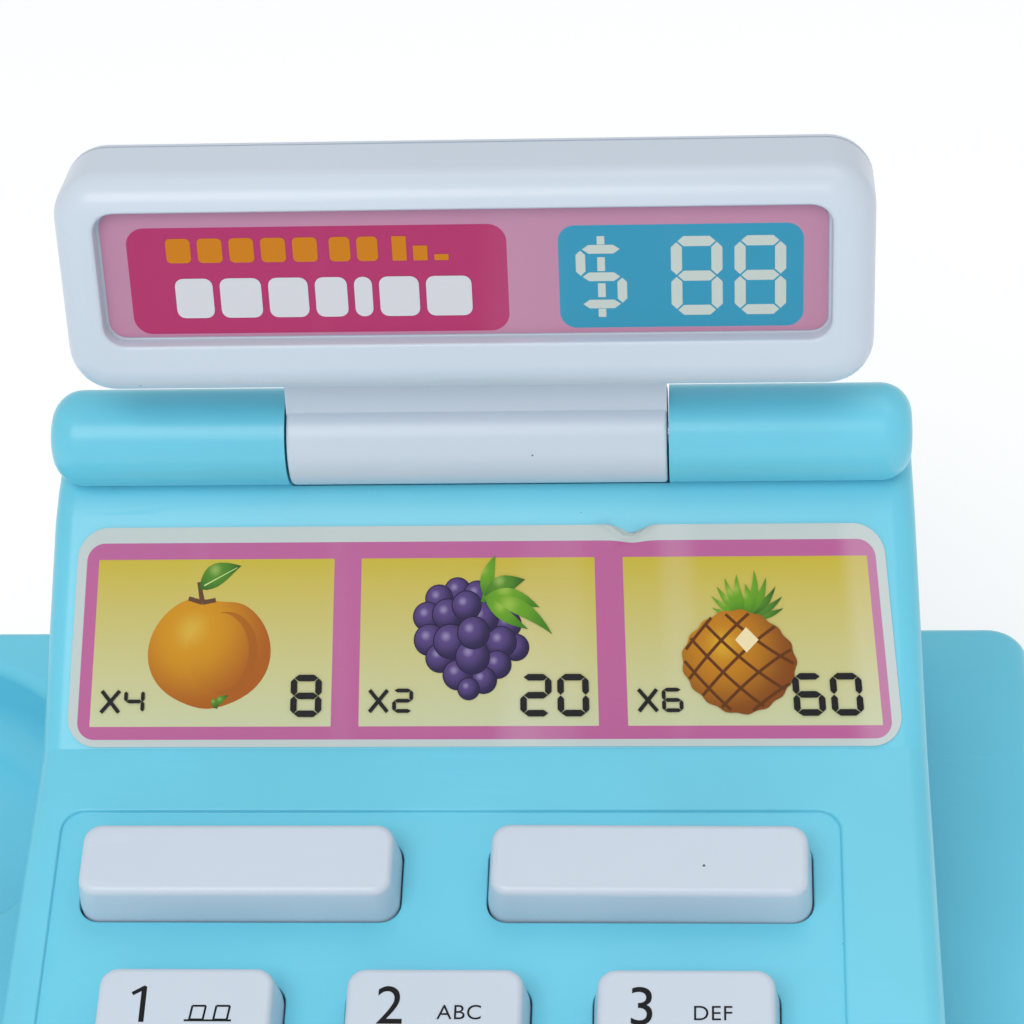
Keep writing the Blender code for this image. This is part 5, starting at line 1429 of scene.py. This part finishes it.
def build_drawer():
    low, high = (Vector(corner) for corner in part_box("drawer_front"))
    middle, half = (low + high) / 2, (high - low) / 2
    place = Matrix.Translation((middle.x, high.y, middle.z)) @ Matrix.Rotation(QUARTER, 4, "X")
    slab = block_rings(half.x, half.z, 3 * MM, 0, 2 * half.y, top_round=1.4 * MM, low_round=0.3 * MM)
    radius, deep, reach = 7 * MM, 2.4 * MM, 21 * MM
    axis = along_x(middle.x, low.y - radius + deep, middle.z)
    scoop = lofted("scoop", drum_rings(radius, reach, 2.2 * MM, 6, 64), axis)
    front = carve(lofted("drawer_fascia", slab, place), ("DIFFERENCE", scoop))
    finish_piece(front, "drawer", [white_plastic()], ["drawer_front"])


# (piece, body, nodes, head radius, shank radius, length, head height), in millimetres
SCREWS = (
    ("case_screw_set", "housing", [f"case_screw_{k}" for k in (1, 2, 3, 4)], 2.7, 1.4, 16.0, 1.8),
    ("hatch_screw", "housing", ["cover_screw"], 1.9, 0.9, 5.0, 1.1),
    ("display_screw_set", "display", ["display_screw_1", "display_screw_2"], 1.9, 0.9, 5.0, 1.1),
)


def screw_pattern(shank, reach):
    """A cross-recessed screw measured in head radii: the head hangs below Z = 0 and the shank stands above it."""
    profile = [(0.55, -0.58), (0.78, -0.52), (0.93, -0.38), (1.0, -0.12), (1.0, 0.0)]
    profile += [(shank, 0.0), (shank, reach - shank), (0.3 * shank, reach)]
    cross = []
    for turn in (0, QUARTER):
        rings = [
            [Vector((x * half, y * thick, z)) for x, y in ((-1, -1), (1, -1), (1, 1), (-1, 1))]
            for half, thick, z in ((0.6, 0.13, -0.7), (0.25, 0.09, -0.12))
        ]
        cross.append(("DIFFERENCE", lofted("blade", rings, Matrix.Rotation(turn, 4, "Z"))))
    return carve(lofted("screw_pattern", [circle(radius, z, 40) for radius, z in profile]), *cross)


def build_screws():
    """The screws that show from below and behind."""
    steel = plated_steel()
    behind = window_frame(till().till_display.thickness + 0.3 * MM)
    for piece, body, nodes, radius, shank, reach, height in SCREWS:
        rows = []
        for k, node in enumerate(nodes):
            low, high = (Vector(corner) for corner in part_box(node))
            middle = (low + high) / 2
            place = Matrix.Translation((middle.x, middle.y, low.z + height * MM))
            if body == "display":
                place = behind @ Matrix.Translation((middle.x - HINGE.x, 0, 0))
            place @= Matrix.Rotation(math.radians(25 * k + 10), 4, "Z")
            rows.append((tuple(place.translation), tuple(place.to_euler()), (radius * MM,) * 3))
        made = put(piece, spread(piece, screw_pattern(shank / radius, reach / radius), rows, steel))
        finish_piece(made, body, [steel], nodes, weighted=False)


def dress_nodes():
    """Procedural finishes for the CAD pieces that stay as they are."""
    finishes = {
        "sky_blue_plastic": blue_plastic(),
        "white_plastic": white_plastic(),
        "steel": plated_steel(),
        "silicone_rubber": soft_rubber("silicone", (0.42, 0.43, 0.46), 0.6),
        "grey_rubber": soft_rubber("foot_rubber", (0.035, 0.037, 0.04), 0.85),
        "circuit_board": laminate("board_green", (0.012, 0.13, 0.04)),
        "black_plastic": moulded_plastic("dull_black", (0.02, 0.02, 0.022), 0.45, 0.1, 0.0),
        "battery_wrap": wrapped_cell(),
    }
    kinds = {part["node"]: part["material_slot"] for part in frame["record"]["subparts"]}
    for name, node in NODES.items():
        finish = finishes.get(kinds.get(name))
        if finish:
            for slot in node.material_slots:
                slot.material = finish


# Operators


class TILL_OT_housing(bpy.types.Operator):
    """Builds the top moulding: deck, coin bowl, console, keypad recess and hinge barrels"""

    bl_idname = "till.housing"
    bl_label = "Top moulding"

    def execute(self, context):
        build_housing()
        return {"FINISHED"}


class TILL_OT_inside(bpy.types.Operator):
    """Gives the base, tray, feet and inner pieces their finishes"""

    bl_idname = "till.inside"
    bl_label = "Base and inner pieces"

    def execute(self, context):
        dress_nodes()
        return {"FINISHED"}


class TILL_OT_keys(bpy.types.Operator):
    """Builds the twelve number keys and the two wide keys"""

    bl_idname = "till.keys"
    bl_label = "Keys"

    def execute(self, context):
        build_number_keys()
        build_wide_keys()
        return {"FINISHED"}


class TILL_OT_key_print(bpy.types.Operator):
    """Prints the figures on the number keys"""

    bl_idname = "till.key_print"
    bl_label = "Key figures"

    def execute(self, context):
        build_key_print()
        return {"FINISHED"}


class TILL_OT_price_label(bpy.types.Operator):
    """Lays the price label with its three fruit windows on the console"""

    bl_idname = "till.price_label"
    bl_label = "Price label"

    def execute(self, context):
        build_price_label()
        return {"FINISHED"}


class TILL_OT_display(bpy.types.Operator):
    """Builds the tilting display's housing, rear cover and hinge barrel"""

    bl_idname = "till.display"
    bl_label = "Display"

    def execute(self, context):
        build_display()
        return {"FINISHED"}


class TILL_OT_display_label(bpy.types.Operator):
    """Lays the printed label in the display's window"""

    bl_idname = "till.display_label"
    bl_label = "Display label"

    def execute(self, context):
        build_display_label()
        return {"FINISHED"}


class TILL_OT_drawer(bpy.types.Operator):
    """Builds the drawer's front with its finger scoop"""

    bl_idname = "till.drawer"
    bl_label = "Drawer front"

    def execute(self, context):
        build_drawer()
        return {"FINISHED"}


class TILL_OT_screws(bpy.types.Operator):
    """Sets the cross-recessed screws of the case, the hatch and the display"""

    bl_idname = "till.screws"
    bl_label = "Screws"

    def execute(self, context):
        build_screws()
        return {"FINISHED"}


def camera_turn(yaw, pitch, roll):
    forward = Vector((math.sin(yaw) * math.cos(pitch), math.cos(yaw) * math.cos(pitch), -math.sin(pitch)))
    right = Vector((math.cos(yaw), -math.sin(yaw), 0))
    down = forward.cross(right)
    rolled_right = math.cos(roll) * right + math.sin(roll) * down
    rolled_down = -math.sin(roll) * right + math.cos(roll) * down
    return Matrix((rolled_right, -rolled_down, -forward)).transposed().to_4x4()


def add_area_light(name, place, aim, size, power):
    data = bpy.data.lights.new(name, "AREA")
    data.shape = "RECTANGLE"
    data.size, data.size_y = size
    data.energy = power
    light = put(name, data)
    light.location = place
    light.rotation_euler = (Vector(aim) - Vector(place)).to_track_quat("-Z", "Y").to_euler()


class TILL_OT_stage(bpy.types.Operator):
    """Lays the floor, hangs the soft lights and sets up the camera"""

    bl_idname = "till.stage"
    bl_label = "Stage"

    def execute(self, context):
        stage = context.scene.till_stage
        bm = bmesh.new()
        bmesh.ops.create_grid(bm, x_segments=1, y_segments=1, size=6)
        floor = new_object("floor", bm)
        paper, w, shader = new_material("floor_paper")
        mottle = w.noise(w.place(), 3.0, 2.0)
        w.surface(shader, w.mix(mottle, (0.93, 0.93, 0.93), (0.95, 0.95, 0.95)), 0.9)
        shader.inputs["Emission Color"].default_value = (1, 1, 1, 1)
        shader.inputs["Emission Strength"].default_value = 0.22
        floor.data.materials.append(paper)
        add_area_light("key_light", (-0.22, -0.62, 0.88), (0.02, 0, 0.08), (0.6, 0.5), stage.key_light)
        add_area_light("top_light", (0.25, 0.25, 1.0), (0.02, 0.02, 0.08), (0.8, 0.5), stage.key_light * 0.35)
        add_area_light("front_light", (0.1, -0.9, 0.35), (0.02, 0, 0.08), (0.8, 0.4), stage.fill_light)
        world = context.scene.world or bpy.data.worlds.new("room")
        context.scene.world = world
        world.use_nodes = True
        sky = world.node_tree.nodes["Background"]
        sky.inputs["Color"].default_value = (0.97, 0.985, 1.0, 1.0)
        sky.inputs["Strength"].default_value = stage.sky
        data = bpy.data.cameras.new("camera")
        data.lens = stage.lens
        data.clip_start = 0.01
        camera = put("camera", data)
        camera.matrix_world = Matrix.Translation(stage.camera) @ camera_turn(stage.yaw, stage.pitch, stage.roll)
        context.scene.camera = camera
        context.scene.view_settings.view_transform = "Standard"
        return {"FINISHED"}


STEPS = (
    TILL_OT_inside, TILL_OT_housing, TILL_OT_keys, TILL_OT_key_print, TILL_OT_price_label, TILL_OT_display,
    TILL_OT_display_label, TILL_OT_drawer, TILL_OT_screws, TILL_OT_stage,
)
GROUPS = {
    "till_housing": TillHousing, "till_keys": TillKeys, "till_display": TillDisplay,
    "till_finish": TillFinish, "till_stage": TillStage,
}


class TILL_PT_panel(bpy.types.Panel):
    """The till's sizes, colours and building steps"""

    bl_idname = "TILL_PT_panel"
    bl_label = "Toy cash register"
    bl_space_type = "VIEW_3D"
    bl_region_type = "UI"
    bl_category = "Till"

    def draw(self, context):
        for step in STEPS:
            self.layout.operator(step.bl_idname)
        for name in GROUPS:
            box = self.layout.box()
            for key in GROUPS[name].__annotations__:
                box.prop(getattr(context.scene, name), key)


def register():
    for group in (*GROUPS.values(), *STEPS, TILL_PT_panel):
        bpy.utils.register_class(group)
    for name, group in GROUPS.items():
        setattr(bpy.types.Scene, name, bpy.props.PointerProperty(type=group))


def unregister():
    for name in GROUPS:
        delattr(bpy.types.Scene, name)
    for group in (TILL_PT_panel, *reversed(STEPS), *reversed(list(GROUPS.values()))):
        bpy.utils.unregister_class(group)


def main():
    register()
    for step in STEPS:
        area, name = step.bl_idname.split(".")
        getattr(getattr(bpy.ops, area), name)()


if __name__ == "__main__":
    main()
